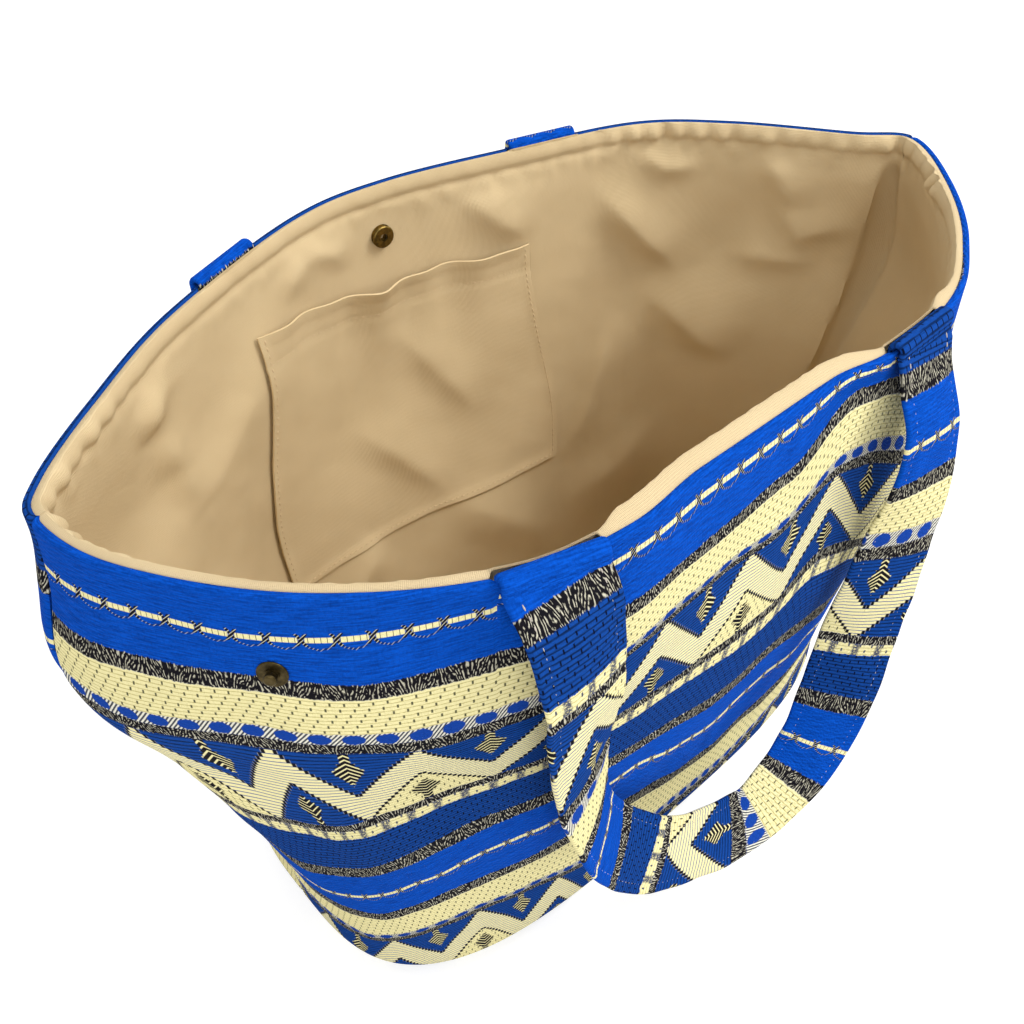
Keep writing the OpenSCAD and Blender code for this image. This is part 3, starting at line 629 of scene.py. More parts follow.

# %% [markdown]
# A strap is the same striped cloth, folded and stitched flat. It comes up between outer cloth and
# lining, turns over the rim, hangs in a loop and goes back. Its path is a list of given places, each
# with the direction of the strap's width, so that it can turn as it hangs.

# %% Places of the two loops
# Each place: x in mm, y as a share of the reach, height over the rim in mm, direction of the width
FRONT_LOOP = [
    (79, -0.88, -12, 0.99, 0, -0.15), (77, -0.955, -38, 0.96, -0.05, -0.27),
    (76, -0.975, -68, 0.91, -0.18, -0.37), (75, -0.965, -104, 0.83, -0.35, -0.44),
    (73, -0.955, -144, 0.72, -0.5, -0.47), (70, -0.95, -180, 0.57, -0.64, -0.51),
    (63, -0.96, -216, 0.43, -0.7, -0.58), (51, -0.97, -245, 0.34, -0.67, -0.66),
    (34, -0.965, -267, 0.28, -0.62, -0.74), (5, -0.945, -281, 0.17, -0.5, -0.85),
    (-30, -0.92, -269, 0.02, -0.38, -0.93), (-59, -0.895, -252, -0.14, -0.35, -0.93),
    (-79, -0.87, -229, -0.29, -0.41, -0.87), (-91, -0.86, -209, -0.43, -0.45, -0.78),
    (-102, -0.86, -185, -0.68, -0.5, -0.5), (-111, -0.865, -150, -0.89, -0.42, 0.1),
    (-118, -0.88, -120, -0.86, -0.28, 0.4), (-122, -0.895, -90, -0.87, -0.16, 0.42),
    (-124, -0.905, -55, -0.95, -0.02, 0.28), (-126, -0.875, -20, -0.97, 0.15, 0.12),
]
BACK_LOOP = [
    (-111, 0.74, -18, -0.96, -0.28, -0.05), (-112, 0.8, -48, -0.97, -0.1, -0.2),
    (-112, 0.84, -88, -0.93, 0.15, -0.33), (-109, 0.88, -130, -0.84, 0.35, -0.42),
    (-103, 0.91, -172, -0.7, 0.5, -0.52), (-92, 0.93, -210, -0.52, 0.56, -0.64),
    (-74, 0.94, -243, -0.36, 0.55, -0.75), (-46, 0.93, -266, -0.2, 0.48, -0.85),
    (-12, 0.92, -277, -0.02, 0.4, -0.92), (22, 0.91, -270, 0.16, 0.4, -0.9),
    (52, 0.91, -250, 0.34, 0.45, -0.83), (74, 0.91, -220, 0.55, 0.48, -0.68),
    (88, 0.9, -184, 0.76, 0.42, -0.5), (95, 0.88, -146, 0.9, 0.28, -0.3),
    (98, 0.85, -106, 0.96, 0.1, -0.15), (98, 0.82, -66, 0.97, -0.1, -0.05),
    (94, 0.76, -26, 0.95, -0.3, 0),
]
REACH = {"front": 163.0, "back": 171.0}
# Length sewn in below the rim, drop at which the strap hangs free, radius of its turn over the rim
TAIL, STRAP_DROP, FOLD_R = 24.0, 4.0, (LINING_DEPTH - LINING_T) / 2
print("places of the loops", len(FRONT_LOOP), len(BACK_LOOP))


# %% Path of a strap
def strap_end(side, c, direction):
    """Rings of a sewn end, from its tail up and over the rim: centre, width and face directions."""
    q = loop_place(side, c)
    ahead = along_mouth(q)
    width = np.append(ahead / np.hypot(*ahead), 0) * direction
    steps = [(OUTER_T / 2 + FOLD_R, -h, 0.0) for h in spaced(TAIL, 2, 4)]
    over = spaced(0, math.pi, 0.3)
    steps += [(OUTER_T / 2 + FOLD_R * math.cos(a), FOLD_R * math.sin(a), a) for a in over]
    steps += [(OUTER_T / 2 - FOLD_R, -STRAP_DROP, math.pi)]
    rings = []
    for depth, height, turn in steps:
        point = cloth(q, max(0.0, -height), depth)
        point[2] = RIM_Z + height
        out = outward(np.array(q), np.array(0.0))
        face = -out * math.cos(turn) + np.array([0, 0, 1]) * math.sin(turn)
        rings.append((point, width, face))
    return rings


def strap_path(side, loop):
    """Centres, width directions and face directions along the whole strap."""
    shift = PANELS[side]["shift"]
    first = strap_end(side, shift + STRAP_ENDS / 2, 1)
    last = strap_end(side, shift - STRAP_ENDS / 2, -1)[::-1]
    knots = [np.concatenate([first[-1][0], first[-1][1]])]
    knots += [np.array([x, y * REACH[side], RIM_Z + z, *w], float) for x, y, z, *w in loop]
    knots += [np.concatenate([last[0][0], last[0][1]])]
    fine = []
    for i in range(len(knots) - 1):
        four = [knots[min(max(k, 0), len(knots) - 1)] for k in (i - 1, i, i + 1, i + 2)]
        count = max(1, int(np.linalg.norm(four[2][:3] - four[1][:3]) / 3))
        fine += [between(*four, k / count) for k in range(count)]
    fine = np.array(fine[1:])
    ahead = unit(np.gradient(fine[:, :3], axis=0))
    width = unit(fine[:, 3:] - ahead * (fine[:, 3:] * ahead).sum(1)[:, None])
    face = np.cross(ahead, width)
    rings = first + list(zip(fine[:, :3], width, face)) + last
    return [np.array(part) for part in zip(*rings)]


# %% [markdown]
# The strap's section is a flat bar with round edges. It is swept along the path ring by ring, as one
# grid of cloth whose last column is merged with its first, and its two ends are closed with a face.
# Sweeping a grid keeps the UV map straight, so the stripes cross the strap as they do on the real one.

# %% Section of a strap
EDGE_ROUND = STRAP_T / 2
# The seams of a strap run this far from its middle
SEWN_IN = STRAP_W / 2 - 5.5


def strap_section():
    """Points round the flat, round-edged section: across the width, and out of the face."""
    half = STRAP_W / 2 - EDGE_ROUND
    flat = spaced(-half, half, 3.2)
    bend = np.linspace(-math.pi / 2, math.pi / 2, 5)[1:-1]
    right = [(half + EDGE_ROUND * math.cos(a), -EDGE_ROUND * math.sin(a)) for a in bend]
    left = [(-x, -y) for x, y in right]
    points = [(x, EDGE_ROUND) for x in flat] + right + [(x, -EDGE_ROUND) for x in flat[::-1]] + left
    return np.array(points + points[:1])


section = strap_section()
print("points round the section", len(section) - 1)

# %% Straps
# Where the cloth starts across the weave, and how many rings at a sewn end have no stitches
START_ACROSS, BARE_RINGS = 31, 13
# How far its edges curl, its seams dip and its face waves, and how far the sewn end keeps it flat
CURL, SEAM_DIP, UNEVEN, STIFF = 0.9, 0.6, 0.6, TAIL + 12
straps = {}
stitches = []
for side, loop, start, stretch in (("front", FRONT_LOOP, 131.0, 1.0), ("back", BACK_LOOP, 162.0, 0.962)):
    centre, width, face = strap_path(side, loop)
    length = np.concatenate([[0], np.cumsum(np.linalg.norm(np.diff(centre, axis=0), axis=1))])
    around = np.arange(len(section))

    def surface(x, y, s):
        """Point at x across the strap and y out of its middle, at ring s."""
        seam = SEAM_DIP * np.exp(-((np.abs(x) - SEWN_IN) / 1.5) ** 2) * np.sign(y)
        bent = UNEVEN * waves(x, length[s], 20, 5) - CURL * (2 * x / STRAP_W) ** 2 - seam
        free = eased((length[s] - STIFF) / 20) * eased((length[-1] - STIFF - length[s]) / 20)
        return centre[s] + width[s] * x[:, None] + face[s] * (y + bent * free)[:, None]

    def place(k, s):
        k, s = k.astype(int), s.astype(int)
        return surface(section[k, 0], section[k, 1], s)

    def uv(k, s):
        k, s = k.astype(int), s.astype(int)
        return np.stack([section[k, 0] + START_ACROSS, length[s] * stretch + start], -1)

    piece = cloth_grid(f"{side}_strap", around, np.arange(len(centre)), place, uv)
    select_only(piece)
    bpy.ops.object.mode_set(mode="EDIT")
    bpy.ops.mesh.select_all(action="SELECT")
    bpy.ops.mesh.remove_doubles(threshold=0.00001)
    bpy.ops.mesh.select_all(action="DESELECT")
    bpy.ops.mesh.select_non_manifold(extend=False)
    bpy.ops.mesh.edge_face_add()
    bpy.ops.mesh.select_all(action="SELECT")
    bpy.ops.mesh.normals_make_consistent(inside=False)
    bpy.ops.object.mode_set(mode="OBJECT")
    bpy.ops.object.shade_smooth_by_angle(angle=math.radians(60))
    straps[side] = piece
    rings = np.arange(len(centre))[BARE_RINGS:-BARE_RINGS]
    for edge in (-SEWN_IN, SEWN_IN):
        for out in (-EDGE_ROUND, EDGE_ROUND):
            line = surface(np.full(len(rings), edge), np.full(len(rings), out), rings)
            stitches.append((f"{side}_strap_thread", line, face[rings] * np.sign(out)))
    print(piece.name, "length", round(length[-1], 1), "mm", len(piece.data.polygons), "faces")

# %% [markdown]
# The topstitching is real thread. One stitch is a small stretched ball, an array makes a row of them,
# and each is then laid on its place along the line, half sunk into the cloth.

# %% A row of stitches
def stitch_row(name, line, faces, pitch=4.2, length=2.8, radius=0.36):
    """Stitches end to end along a line of points on the cloth."""
    run = np.concatenate([[0], np.cumsum(np.linalg.norm(np.diff(line, axis=0), axis=1))])
    marks = np.arange(pitch / 2, run[-1], pitch)
    ahead = np.gradient(line, axis=0)
    centre, face, ahead = (
        np.stack([np.interp(marks, run, part[:, k]) for k in range(3)], -1)
        for part in (line, faces, ahead)
    )
    ahead, face = unit(ahead), unit(face)
    across = unit(np.cross(face, ahead))
    bpy.ops.object.select_all(action="DESELECT")
    bpy.ops.mesh.primitive_uv_sphere_add(segments=6, ring_count=4, radius=1)
    piece = bpy.context.object
    piece.name = piece.data.name = name
    row = piece.modifiers.new("row", "ARRAY")
    row.count = len(marks)
    row.relative_offset_displace = (0, 0, 0)
    bpy.ops.object.modifier_apply(modifier=row.name)
    balls = np.zeros(len(piece.data.vertices) * 3)
    piece.data.vertices.foreach_get("co", balls)
    balls = balls.reshape(len(marks), -1, 3) * (length / 2, radius, radius)
    laid = centre[:, None] + ahead[:, None] * balls[..., :1]
    laid = laid + across[:, None] * balls[..., 1:2] + np.cross(ahead, across)[:, None] * balls[..., 2:]
    piece.data.vertices.foreach_set("co", (laid * MM).ravel())
    piece.data.update()
    bpy.ops.object.shade_smooth()
    return piece


def inward_faces(line):
    """Directions into the bag along a line of points on its lining."""
    return unit(np.array([0, 0, RIM_Z * 0.6]) - line) * (1, 1, 0.2)


print("lines on the straps", len(stitches))

# %% Topstitching
for side, seed in LINING_SEEDS.items():
    reach = PANELS[side]["length"] / 2 - 4
    c = spaced(-reach, reach, 2)
    line = place_lining(side, seed)(c, np.full(len(c), TOPSTITCH))
    stitches.append((f"{side}_hem_thread", line, inward_faces(line)))

SEWN_IN_POCKET = 3
left = POCKET_SHIFT - POCKET_W / 2 + SEWN_IN_POCKET
right = POCKET_SHIFT + POCKET_W / 2 - SEWN_IN_POCKET
foot = POCKET_H - SEWN_IN_POCKET
share = np.linspace(0, 1, 90)
for (c0, s0), (c1, s1) in (
    ((left, MOUTH_HEM), (right, MOUTH_HEM)), ((left, 1), (left, foot)),
    ((right, 1), (right, foot)), ((left, foot), (right, foot)),
):
    line = place_pocket(c0 + (c1 - c0) * share, s0 + (s1 - s0) * share)
    stitches.append(("pocket_thread", line, inward_faces(line)))

threads_of = {}
for name, line, faces in stitches:
    threads_of.setdefault(name, []).append(stitch_row(name, line, faces))
for name, rows in threads_of.items():
    bpy.ops.object.select_all(action="DESELECT")
    for piece in rows:
        piece.select_set(True)
    bpy.context.view_layer.objects.active = rows[0]
    if len(rows) > 1:
        bpy.ops.object.join()
    threads_of[name] = rows[0]
    print(name, len(rows[0].data.polygons), "faces")

# %% [markdown]
# The blue cloth is a jacquard: one repeat of bands, 209 mm high, woven again and again. A band is a
# piece of the repeat between two heights, with soft edges, so the whole pattern is a stack of mixes
# on one number, the height within the repeat. The UV map gives that number in metres. A painted
# picture could be laid on too, but a rule stays sharp at any size.

# %% Short names for the nodes of a material
class Weaver:
    """One material with its shader, and short names for the nodes that it is made of."""

    def __init__(self, name, view_color):
        self.material = bpy.data.materials.new(name)
        self.material.use_nodes = True
        self.material.diffuse_color = (*view_color[:3], 1)
        self.nodes = self.material.node_tree.nodes
        self.links = self.material.node_tree.links
        self.nodes.clear()
        self.shader = self.nodes.new("ShaderNodeBsdfPrincipled")
        self.output = self.nodes.new("ShaderNodeOutputMaterial")
        self.links.new(self.shader.outputs[0], self.output.inputs[0])

    def put(self, value, socket):
        if hasattr(value, "links"):
            self.links.new(value, socket)
        else:
            socket.default_value = value

    def shade(self, **settings):
        """Sets or links inputs of the shader, with _ for the spaces in their names."""
        for setting, value in settings.items():
            self.put(value, self.shader.inputs[setting.replace("_", " ")])

    def math(self, kind, *values):
        node = self.nodes.new("ShaderNodeMath")
        node.operation = kind
        for value, socket in zip(values, node.inputs):
            self.put(value, socket)
        return node.outputs[0]

    def add(self, a, b):
        return self.math("ADD", a, b)

    def sub(self, a, b):
        return self.math("SUBTRACT", a, b)

    def mul(self, a, b):
        return self.math("MULTIPLY", a, b)

    def div(self, a, b):
        return self.math("DIVIDE", a, b)

    def abs(self, a):
        return self.math("ABSOLUTE", a)

    def most(self, a, b):
        return self.math("MAXIMUM", a, b)

    def ramp(self, value, low, high):
        """0 below low, 1 above high, straight between."""
        node = self.nodes.new("ShaderNodeMapRange")
        node.clamp = True
        for k, v in enumerate((value, low, high, 0.0, 1.0)):
            self.put(v, node.inputs[k])
        return node.outputs[0]

    def band(self, value, low, high, soft):
        """1 between low and high, with soft edges."""
        begun = self.ramp(value, low - soft, low + soft)
        return self.mul(begun, self.ramp(value, high + soft, high - soft))

    def mix(self, share, a, b):
        node = self.nodes.new("ShaderNodeMix")
        node.data_type = "RGBA"
        for k, v in ((0, share), (6, a), (7, b)):
            self.put(v, node.inputs[k])
        return node.outputs[2]

    def cycle(self, value, period, shift=0.0):
        """Place within a period, 0 to 1."""
        return self.math("FRACT", self.add(self.div(value, period), shift))

    def wave(self, value, period, shift=0.0):
        """Triangle wave from 0 at the start of a period to 1 in its middle."""
        swing = self.sub(self.mul(self.cycle(value, period, shift), 2.0), 1.0)
        return self.sub(1.0, self.abs(swing))

    def noise(self, vector, scale, detail=2.0, roughness=0.5):
        node = self.nodes.new("ShaderNodeTexNoise")
        settings = {"Vector": vector, "Scale": scale, "Detail": detail, "Roughness": roughness}
        for setting, value in settings.items():
            self.put(value, node.inputs[setting])
        return node.outputs["Fac"]

    def joined(self, x, y):
        node = self.nodes.new("ShaderNodeCombineXYZ")
        self.put(x, node.inputs[0])
        self.put(y, node.inputs[1])
        return node.outputs[0]

    def bump(self, height, distance):
        node = self.nodes.new("ShaderNodeBump")
        node.inputs["Strength"].default_value = 1.0
        node.inputs["Distance"].default_value = distance
        self.put(height, node.inputs["Height"])
        return node.outputs[0]


# %% The cloth's own measure, and colours
def cut_cloth_mm(w):
    """The two UV numbers in millimetres: across the stripes' length, and down the cloth."""
    uv = w.nodes.new("ShaderNodeUVMap")
    uv.uv_map = "cut_cloth"
    parts = w.nodes.new("ShaderNodeSeparateXYZ")
    w.links.new(uv.outputs[0], parts.inputs[0])
    return w.mul(parts.outputs[0], 1000.0), w.mul(parts.outputs[1], 1000.0)


def linear(code):
    """A screen colour such as 0A4FD0 as the shader's linear colour."""
    parts = [int(code[k:k + 2], 16) / 255 for k in (0, 2, 4)]
    return tuple(v / 12.92 if v < 0.04045 else ((v + 0.055) / 1.055) ** 2.4 for v in parts) + (1,)


def dress(piece, material):
    piece.data.materials.clear()
    piece.data.materials.append(material)


BRIGHT, BRIGHT_LOW, DARK, DEEP = (linear(code) for code in ("0850BE", "043A92", "124290", "0A2450"))
CREAM, CREAM_LOW, BLACK, GREY = (linear(code) for code in ("EDE3AA", "BFB276", "17161B", "4A4D54"))
WHITE, THREAD = linear("E9E6D6"), linear("C4BFAA")
print("bright blue", [round(part, 3) for part in BRIGHT])

# %% Threads, pins and the zigzag
REPEAT, RIB = 209.0, 2.4
CELL, CELL_SHIFT = 12.0, 5.0
ZIG, ZIG_SHIFT, ZIG_TOP, ZIG_H = 54.5, 163.25, 74.0, 57.0
RHOMB_HALF_W = 6.5


def threads(w, u, v, p, middle, slant):
    """A black band with long pale threads, upright or slanting, in groups."""
    lean = w.mul(w.sub(w.wave(u, 21.0, slant), 0.5), 0.9)
    across = w.add(u, w.mul(w.sub(p, middle), lean))
    across = w.add(across, w.mul(w.noise(w.joined(w.mul(u, 0.35), w.mul(v, 0.12)), 1.0, 1.0), 3.0))
    lines = w.ramp(w.wave(across, 1.3), 0.50, 0.85)
    breaks = w.ramp(w.noise(w.joined(w.mul(u, 0.9), w.mul(v, 0.35)), 1.0, 1.0), 0.44, 0.54)
    return w.mix(w.mul(lines, breaks), BLACK, THREAD)


def pins(w, u, p, pitch, row, shift):
    """1 on small upright pins that stand in staggered rows."""
    level = w.math("FLOOR", w.div(p, row))
    across = w.ramp(w.wave(w.add(u, w.mul(level, shift)), pitch), 0.80, 0.90)
    return w.mul(across, w.ramp(w.wave(p, row), 0.40, 0.55))


def zigzag(w, u, p, rib, dark_cloth, brick):
    """Stepped cream ribbon between dark triangles above and dark or cream ones below."""
    low = w.math("FLOOR", w.div(p, RIB))
    t = w.div(w.sub(w.mul(w.add(low, 0.5), RIB), ZIG_TOP), ZIG_H)
    s = w.wave(w.add(u, ZIG_SHIFT), ZIG)
    top, foot = w.sub(w.mul(s, 0.67), 0.05), w.add(w.mul(s, 0.62), 0.45)
    above = w.ramp(w.sub(top, t), -0.008, 0.008)
    below = w.ramp(w.sub(t, foot), -0.008, 0.008)
    rims = w.most(w.band(w.sub(t, top), 0.0, 0.04, 0.005), w.band(w.sub(foot, t), 0.0, 0.04, 0.005))
    ribbon = w.mix(rims, w.mix(w.ramp(rib, 0.10, 0.30), DARK, CREAM), BLACK)
    turned = w.add(u, w.mul(w.math("GREATER_THAN", u, ZIG / 2 - ZIG_SHIFT + ZIG), ZIG))
    pale = w.math("LESS_THAN", w.cycle(w.add(turned, ZIG_SHIFT + ZIG / 2), 2 * ZIG), 0.5)
    color = w.mix(above, w.mix(below, ribbon, w.mix(pale, dark_cloth, brick)), dark_cloth)
    # In each triangle stands a rhomb on a stem: distance from its axis, middle, half height, ends of
    # the stem, slope and edges of its lines
    for side, middle, half, stem, slope, lines in (
        (w.mul(w.sub(1.0, s), ZIG / 2), 0.25, 0.20, (0.27, 0.24), -0.9, (0.58, 0.78)),
        (w.mul(s, ZIG / 2), 0.76, 0.18, (0.74, 0.77), 0.9, (0.66, 0.84)),
    ):
        tall = w.div(w.abs(w.sub(t, middle)), half)
        rhomb = w.ramp(w.add(w.div(side, RHOMB_HALF_W), tall), 1.05, 0.95)
        rhomb = w.most(rhomb, w.mul(w.ramp(side, 2.2, 1.8), w.ramp(t, *stem)))
        striped = w.ramp(w.wave(w.add(p, w.mul(side, slope)), 3.2), *lines)
        color = w.mix(rhomb, color, w.mix(striped, BLACK, CREAM))
    return color


print("zigzags in a front panel", round(FRONT_LEN / ZIG, 1))

# %% The row of dashes and crosses
def dash_row(w, color, u, off, cell):
    """Lays bars, crosses and a thin scalloped line over a colour, off being the distance in mm."""
    speck = w.mix(w.ramp(w.wave(w.add(u, off), 1.7), 0.68, 0.85), BLACK, THREAD)
    ticked = w.mix(w.ramp(w.wave(u, 2.2), 0.84, 0.96), CREAM, BLACK)
    near = w.abs(off)
    scallop = w.abs(w.sub(off, w.add(w.mul(cell, 0.30), 2.6)))
    arms = w.abs(w.sub(cell, w.mul(near, 0.6)))
    crosses = w.mul(w.ramp(arms, 0.95, 0.55), w.ramp(near, 3.1, 2.7))
    bar = w.mul(w.ramp(near, 1.35, 1.05), w.ramp(cell, 1.0, 1.4))
    thin = w.mul(w.ramp(scallop, 0.55, 0.30), w.ramp(cell, 1.6, 2.4))
    color = w.mix(w.mul(thin, 0.6), color, speck)
    return w.mix(crosses, w.mix(bar, color, ticked), speck)


print("dashes in a front panel", round(FRONT_LEN / CELL))

# %% The jacquard cloth
def jacquard(name):
    w = Weaver(name, (0.03, 0.1, 0.55))
    u, v = cut_cloth_mm(w)
    wobble = w.noise(w.joined(w.mul(u, 0.7), w.mul(v, 0.12)), 1.0, 2.0)
    ragged = w.add(v, w.mul(w.sub(wobble, 0.5), 2.2))
    p = w.mul(w.cycle(ragged, REPEAT), REPEAT)
    even = w.mul(w.cycle(v, REPEAT), REPEAT)
    rib = w.wave(even, RIB)
    cell = w.mul(w.wave(w.add(u, CELL_SHIFT), CELL), CELL / 2)
    streak = w.noise(w.joined(w.mul(u, 0.10), w.mul(v, 1.5)), 1.0, 2.0, 0.6)
    fine = w.noise(w.joined(w.mul(u, 0.9), w.mul(v, 0.9)), 1.0, 2.0, 0.6)
    tuft = w.add(w.mul(streak, 0.75), w.mul(fine, 0.25))
    chenille = w.mix(w.ramp(tuft, 0.38, 0.60), BRIGHT_LOW, BRIGHT)
    deep = w.ramp(w.add(w.mul(rib, 0.5), w.mul(streak, 0.7)), 0.40, 0.62)
    dark_cloth = w.mix(deep, DEEP, DARK)
    brick = w.mix(w.ramp(w.add(rib, w.mul(fine, 0.5)), 0.30, 0.60), CREAM_LOW, CREAM)
    cream = w.mix(pins(w, u, even, 5.0, 3.8, 1.7), brick, linear("5A5940"))
    dark_pins = w.mix(pins(w, u, p, 4.4, 4.0, 2.2), dark_cloth, linear("060E26"))
    hatch = w.mix(w.ramp(w.wave(w.add(u, w.mul(v, 0.45)), 1.7), 0.38, 0.62), GREY, WHITE)
    x, y = w.div(cell, 4.2), w.div(w.sub(p, 58.75), 4.9)
    oval = w.add(w.math("POWER", x, 2.0), w.math("POWER", y, 2.0))
    ovals = w.mix(w.ramp(oval, 1.1, 0.9), hatch, linear("17429C"))
    blotch = w.ramp(w.add(cell, w.mul(w.sub(fine, 0.5), 4.0)), 2.4, 1.4)
    blotch = w.most(w.mul(blotch, w.ramp(fine, 0.35, 0.5)), pins(w, u, p, 6.0, 4.0, 3.0))
    blotchy = w.mix(blotch, brick, linear("505463"))
    speckled = w.mix(pins(w, u, even, 4.0, 4.8, 2.0), brick, linear("55543F"))
    color = chenille
    for start, end, tone in (
        (20.0, 29.5, threads(w, u, v, p, 24.7, 0.0)), (29.5, 53.5, cream), (53.5, 64.0, ovals),
        (64.0, 74.0, threads(w, u, v, p, 69.0, 0.4)),
        (74.0, 131.0, zigzag(w, u, even, rib, dark_cloth, speckled)),
        (131.0, 137.0, threads(w, u, v, p, 134.0, 0.7)), (137.0, 145.0, blotchy),
        (145.0, 175.0, dark_pins), (175.0, 186.0, threads(w, u, v, p, 180.5, 0.2)),
    ):
        color = w.mix(w.band(p, start, end, 0.3), color, tone)
    off = w.sub(w.mul(w.cycle(v, REPEAT, 0.5), REPEAT), REPEAT / 2)
    color = dash_row(w, color, u, off, cell)
    bricks = w.wave(w.add(v, w.math("FLOOR", w.mul(u, 0.4))), RIB)
    relief = w.bump(w.add(w.mul(bricks, 0.6), w.mul(fine, 0.6)), 0.0007)
    w.shade(Base_Color=color, Roughness=1.0, Specular_IOR_Level=0.04, Normal=relief)
    return w.material


woven = jacquard("woven_stripes")
for piece in (*outer.values(), *straps.values()):
    dress(piece, woven)
print("nodes of the weave", len(woven.node_tree.nodes))

# %% [markdown]
# The lining is a plain, thin cotton. Its threads are far too fine to model, so they are a small bump,
# and a slow change between two near tones keeps it from looking like plastic.

# %% The lining cotton
def cotton(name):
    w = Weaver(name, (0.61, 0.44, 0.25))
    u, v = cut_cloth_mm(w)
    cloud = w.noise(w.joined(u, v), 0.02, 3.0)
    tone = w.mix(w.ramp(cloud, 0.3, 0.7), linear("D3BC92"), linear("DAC399"))
    weave = w.bump(w.mul(w.wave(u, 0.7), w.wave(v, 0.7)), 0.00025)
    w.shade(Base_Color=tone, Roughness=0.85, Specular_IOR_Level=0.2, Normal=weave)
    return w.material


cotton_cloth = cotton("beige_cotton")
for piece in (*lining.values(), pocket):
    dress(piece, cotton_cloth)
print("cotton on", len(lining) + 1, "pieces")

# %% [markdown]
# The thread is beige on the cotton and a pale grey on the straps. The stitches are part of what they
# are sewn on, so they ride on the root as well.

# %% Thread
def thread_material(name, color):
    w = Weaver(name, color)
    w.shade(Base_Color=color, Roughness=0.8)
    return w.material


thread_tones = {
    "lining_cotton": thread_material("beige_thread", linear("D8BE96")),
    "strap_cloth": thread_material("cream_thread", linear("B5ABA0")),
}
for name, piece in threads_of.items():
    slot = "strap_cloth" if "strap" in name else "lining_cotton"
    dress(piece, thread_tones[slot])
    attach(piece, "root")
print("threads", sorted(threads_of))

# %% [markdown]
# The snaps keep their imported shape, and only their metal is new. Old brass is darker where it is worn
# and dull there too, so one noise both mixes two tones and sets the roughness. The spring is a pale
# steel wire, and the studs are the darkest.

# %% Brass and wire of the press snaps
def metal(name, color, rough):
    w = Weaver(name, color)
    place = w.nodes.new("ShaderNodeTexCoord").outputs["Object"]
    wear = w.noise(place, 400.0, 4.0)
    worn = tuple(0.45 * part for part in color[:3]) + (1,)
    tone = w.mix(w.ramp(wear, 0.4, 0.65), color, worn)
    w.shade(Base_Color=tone, Metallic=1.0, Roughness=w.add(w.mul(wear, 0.3), rough - 0.1))
    return w.material


brass = metal("aged_brass", linear("8F7840"), 0.38)
dark_brass = metal("dark_brass", linear("54482C"), 0.42)
wire = metal("spring_wire", linear("8E8672"), 0.3)
snaps = [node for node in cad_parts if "socket" in node or "stud" in node]
for node in snaps:
    tone = dark_brass if "stud" in node else brass
    dress(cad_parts[node], wire if node.endswith("spring") else tone)
print("pieces of the snaps", len(snaps))

# %% [markdown]
# Nothing on the bag moves by itself, so every cloth piece rides on the root. Each one also names the
# imported piece that it stands for, which is then hidden.

# %% Body and the imported pieces that these stand for
for piece, node, slot in (
    (outer["front"], "outer_front", "woven_cloth"), (outer["back"], "outer_back", "woven_cloth"),
    (lining["front"], "lining_front", "lining_cotton"), (lining["back"], "lining_back", "lining_cotton"),
    (pocket, "lining_pocket", "lining_cotton"),
    (straps["front"], "strap_front", "strap_cloth"), (straps["back"], "strap_back", "strap_cloth"),
):
    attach(piece, "root")
    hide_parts(node)
    print(piece.name, "stands for", node)

# %% [markdown]
# The floor of the photograph is nearly white and still takes a soft shadow. A plain white floor would
# throw too much light up at the walls. So the camera, and what it sees in a shiny surface, meets a
# floor that glows a little, and all other rays meet a plain pale one. The world is split the same way.

# %% Floor
FLOOR_TONE, SEEN_TONE, SEEN_GLOW = 0.86, 0.45, 0.7


def seen_directly(tree):
    """1 for the camera's own rays and those it sees in or through something."""
    path = tree.nodes.new("ShaderNodeLightPath")
    first, both = (tree.nodes.new("ShaderNodeMath") for _ in range(2))
    both.use_clamp = True
    tree.links.new(path.outputs["Is Camera Ray"], first.inputs[0])
    tree.links.new(path.outputs["Is Glossy Ray"], first.inputs[1])
    tree.links.new(first.outputs[0], both.inputs[0])
    tree.links.new(path.outputs["Is Transmission Ray"], both.inputs[1])
    return both.outputs[0]


bpy.ops.object.select_all(action="DESELECT")
bpy.ops.mesh.primitive_plane_add(size=12, location=(0, 0, 0))
floor = bpy.context.object
floor.name = "floor"
w = Weaver("pale_floor", (0.9, 0.9, 0.9))
w.shade(Base_Color=(FLOOR_TONE, FLOOR_TONE, FLOOR_TONE, 1), Roughness=0.9)
pale, glow, both, pick = (
    w.nodes.new(f"ShaderNode{kind}") for kind in ("BsdfDiffuse", "Emission", "AddShader", "MixShader")
)
pale.inputs["Color"].default_value = (SEEN_TONE, SEEN_TONE, SEEN_TONE, 1)
glow.inputs["Color"].default_value = (1, 1, 1, 1)
glow.inputs["Strength"].default_value = SEEN_GLOW
for source, socket in (
    (pale.outputs[0], both.inputs[0]), (glow.outputs[0], both.inputs[1]),
    (seen_directly(w.material.node_tree), pick.inputs[0]), (w.shader.outputs[0], pick.inputs[1]),
    (both.outputs[0], pick.inputs[2]), (pick.outputs[0], w.output.inputs[0]),
):
    w.links.new(source, socket)
floor.data.materials.append(w.material)
print("floor", round(floor.dimensions.x, 1), "m wide")

# %% Light from all round
FOR_THE_BAG, FOR_THE_EYE = 0.80, 1.0
world = bpy.data.worlds.new("studio")
bpy.context.scene.world = world
world.use_nodes = True
tree = world.node_tree
tree.nodes.clear()
world_out = tree.nodes.new("ShaderNodeOutputWorld")
choice = tree.nodes.new("ShaderNodeMixShader")
tree.links.new(choice.outputs[0], world_out.inputs[0])
tree.links.new(seen_directly(tree), choice.inputs[0])
for socket, strength in ((1, FOR_THE_BAG), (2, FOR_THE_EYE)):
    background = tree.nodes.new("ShaderNodeBackground")
    background.inputs["Color"].default_value = (1, 1, 1, 1)
    background.inputs["Strength"].default_value = strength
    tree.links.new(background.outputs[0], choice.inputs[socket])
print("world", FOR_THE_BAG, "on the bag")

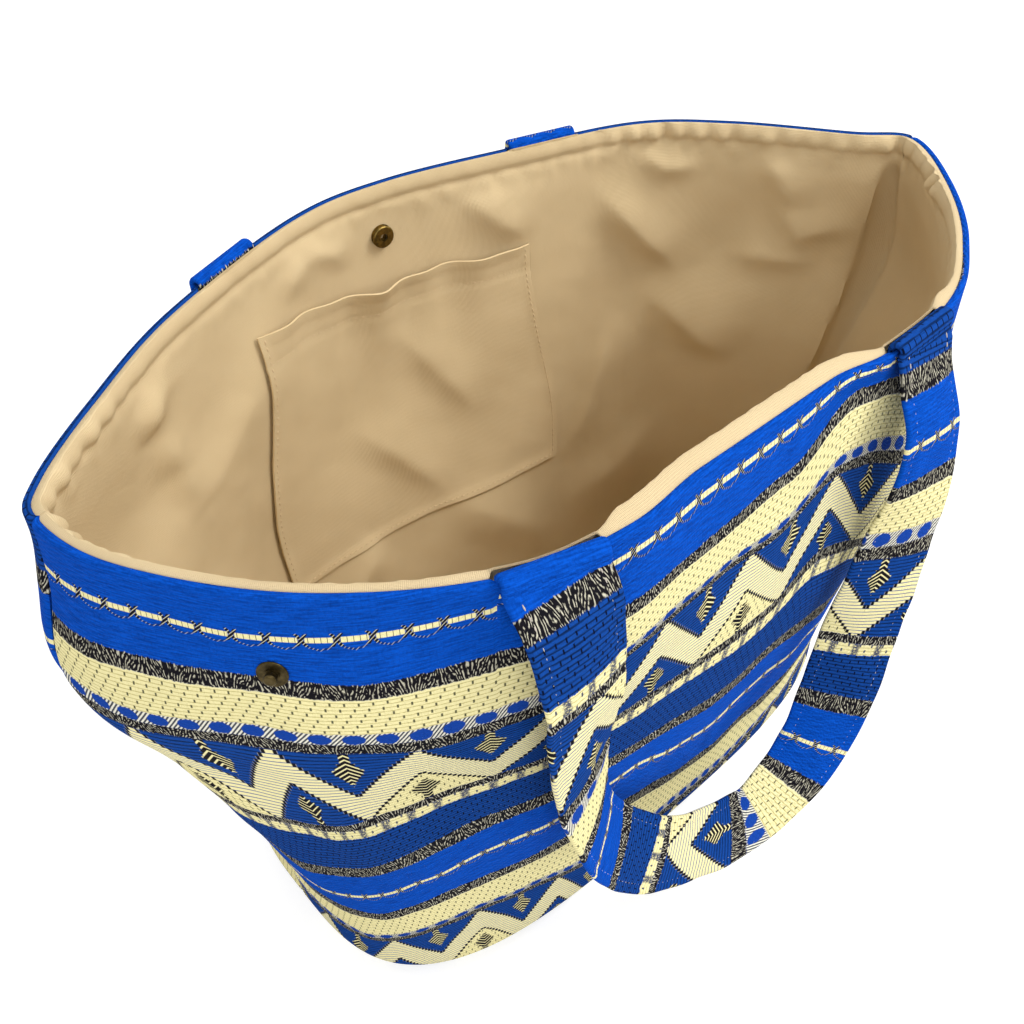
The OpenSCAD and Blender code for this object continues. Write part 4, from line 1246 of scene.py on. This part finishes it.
# %% [markdown]
# The shadows in the photograph are faint and have no edge, so both lamps are large soft boxes: the
# key high on the right, and a weaker, wider one lower on the left.

# %% Two soft boxes
AIM = Vector((0, 0, 0.15))


def soft_box(name, place, size, power):
    light = bpy.data.lights.new(name, "AREA")
    light.shape = "RECTANGLE"
    light.size = light.size_y = size
    light.energy = power
    lamp = bpy.data.objects.new(name, light)
    lamp.location = place
    lamp.rotation_euler = (AIM - Vector(place)).to_track_quat("-Z", "Y").to_euler()
    bpy.context.scene.collection.objects.link(lamp)
    print(name, power, "W")


soft_box("key", (1.0, -0.95, 1.95), size=0.9, power=36)
soft_box("fill", (-1.0, -1.4, 1.3), size=1.4, power=12)

# %% [markdown]
# The camera stands where the photograph's perspective puts it. Its angles and its focal length, in
# pixels of the photograph, were worked out from the rim, the base and the repeats of the weave.

# %% Camera
ELEVATION, AZIMUTH, ROLL = (math.radians(a) for a in (43.4, 49.3, -1.3))
FOCAL_PX, PHOTO_PX, SENSOR_MM = 1046.0, 1024, 36.0
CAMERA_XY, OVER_RIM = (-0.2915, -0.302), 0.250
heading = Vector((math.cos(AZIMUTH), math.sin(AZIMUTH), 0))
right = Vector((math.sin(AZIMUTH), -math.cos(AZIMUTH), 0))
up = Vector((0, 0, 1))
forward = heading * math.cos(ELEVATION) - up * math.sin(ELEVATION)
above = heading * math.sin(ELEVATION) + up * math.cos(ELEVATION)
image_right = right * math.cos(ROLL) + above * math.sin(ROLL)
image_up = -right * math.sin(ROLL) + above * math.cos(ROLL)
turn = Matrix((image_right, image_up, -forward)).transposed()
camera_data = bpy.data.cameras.new("camera")
camera_data.sensor_width = SENSOR_MM
camera_data.lens = SENSOR_MM * FOCAL_PX / PHOTO_PX
camera_data.clip_start = 0.01
camera = bpy.data.objects.new("camera", camera_data)
camera.matrix_world = Matrix.Translation((*CAMERA_XY, RIM_Z * MM + OVER_RIM)) @ turn.to_4x4()
bpy.context.scene.collection.objects.link(camera)
bpy.context.scene.camera = camera
bpy.context.scene.view_settings.view_transform = "Standard"
print("lens", round(camera_data.lens, 1), "mm")
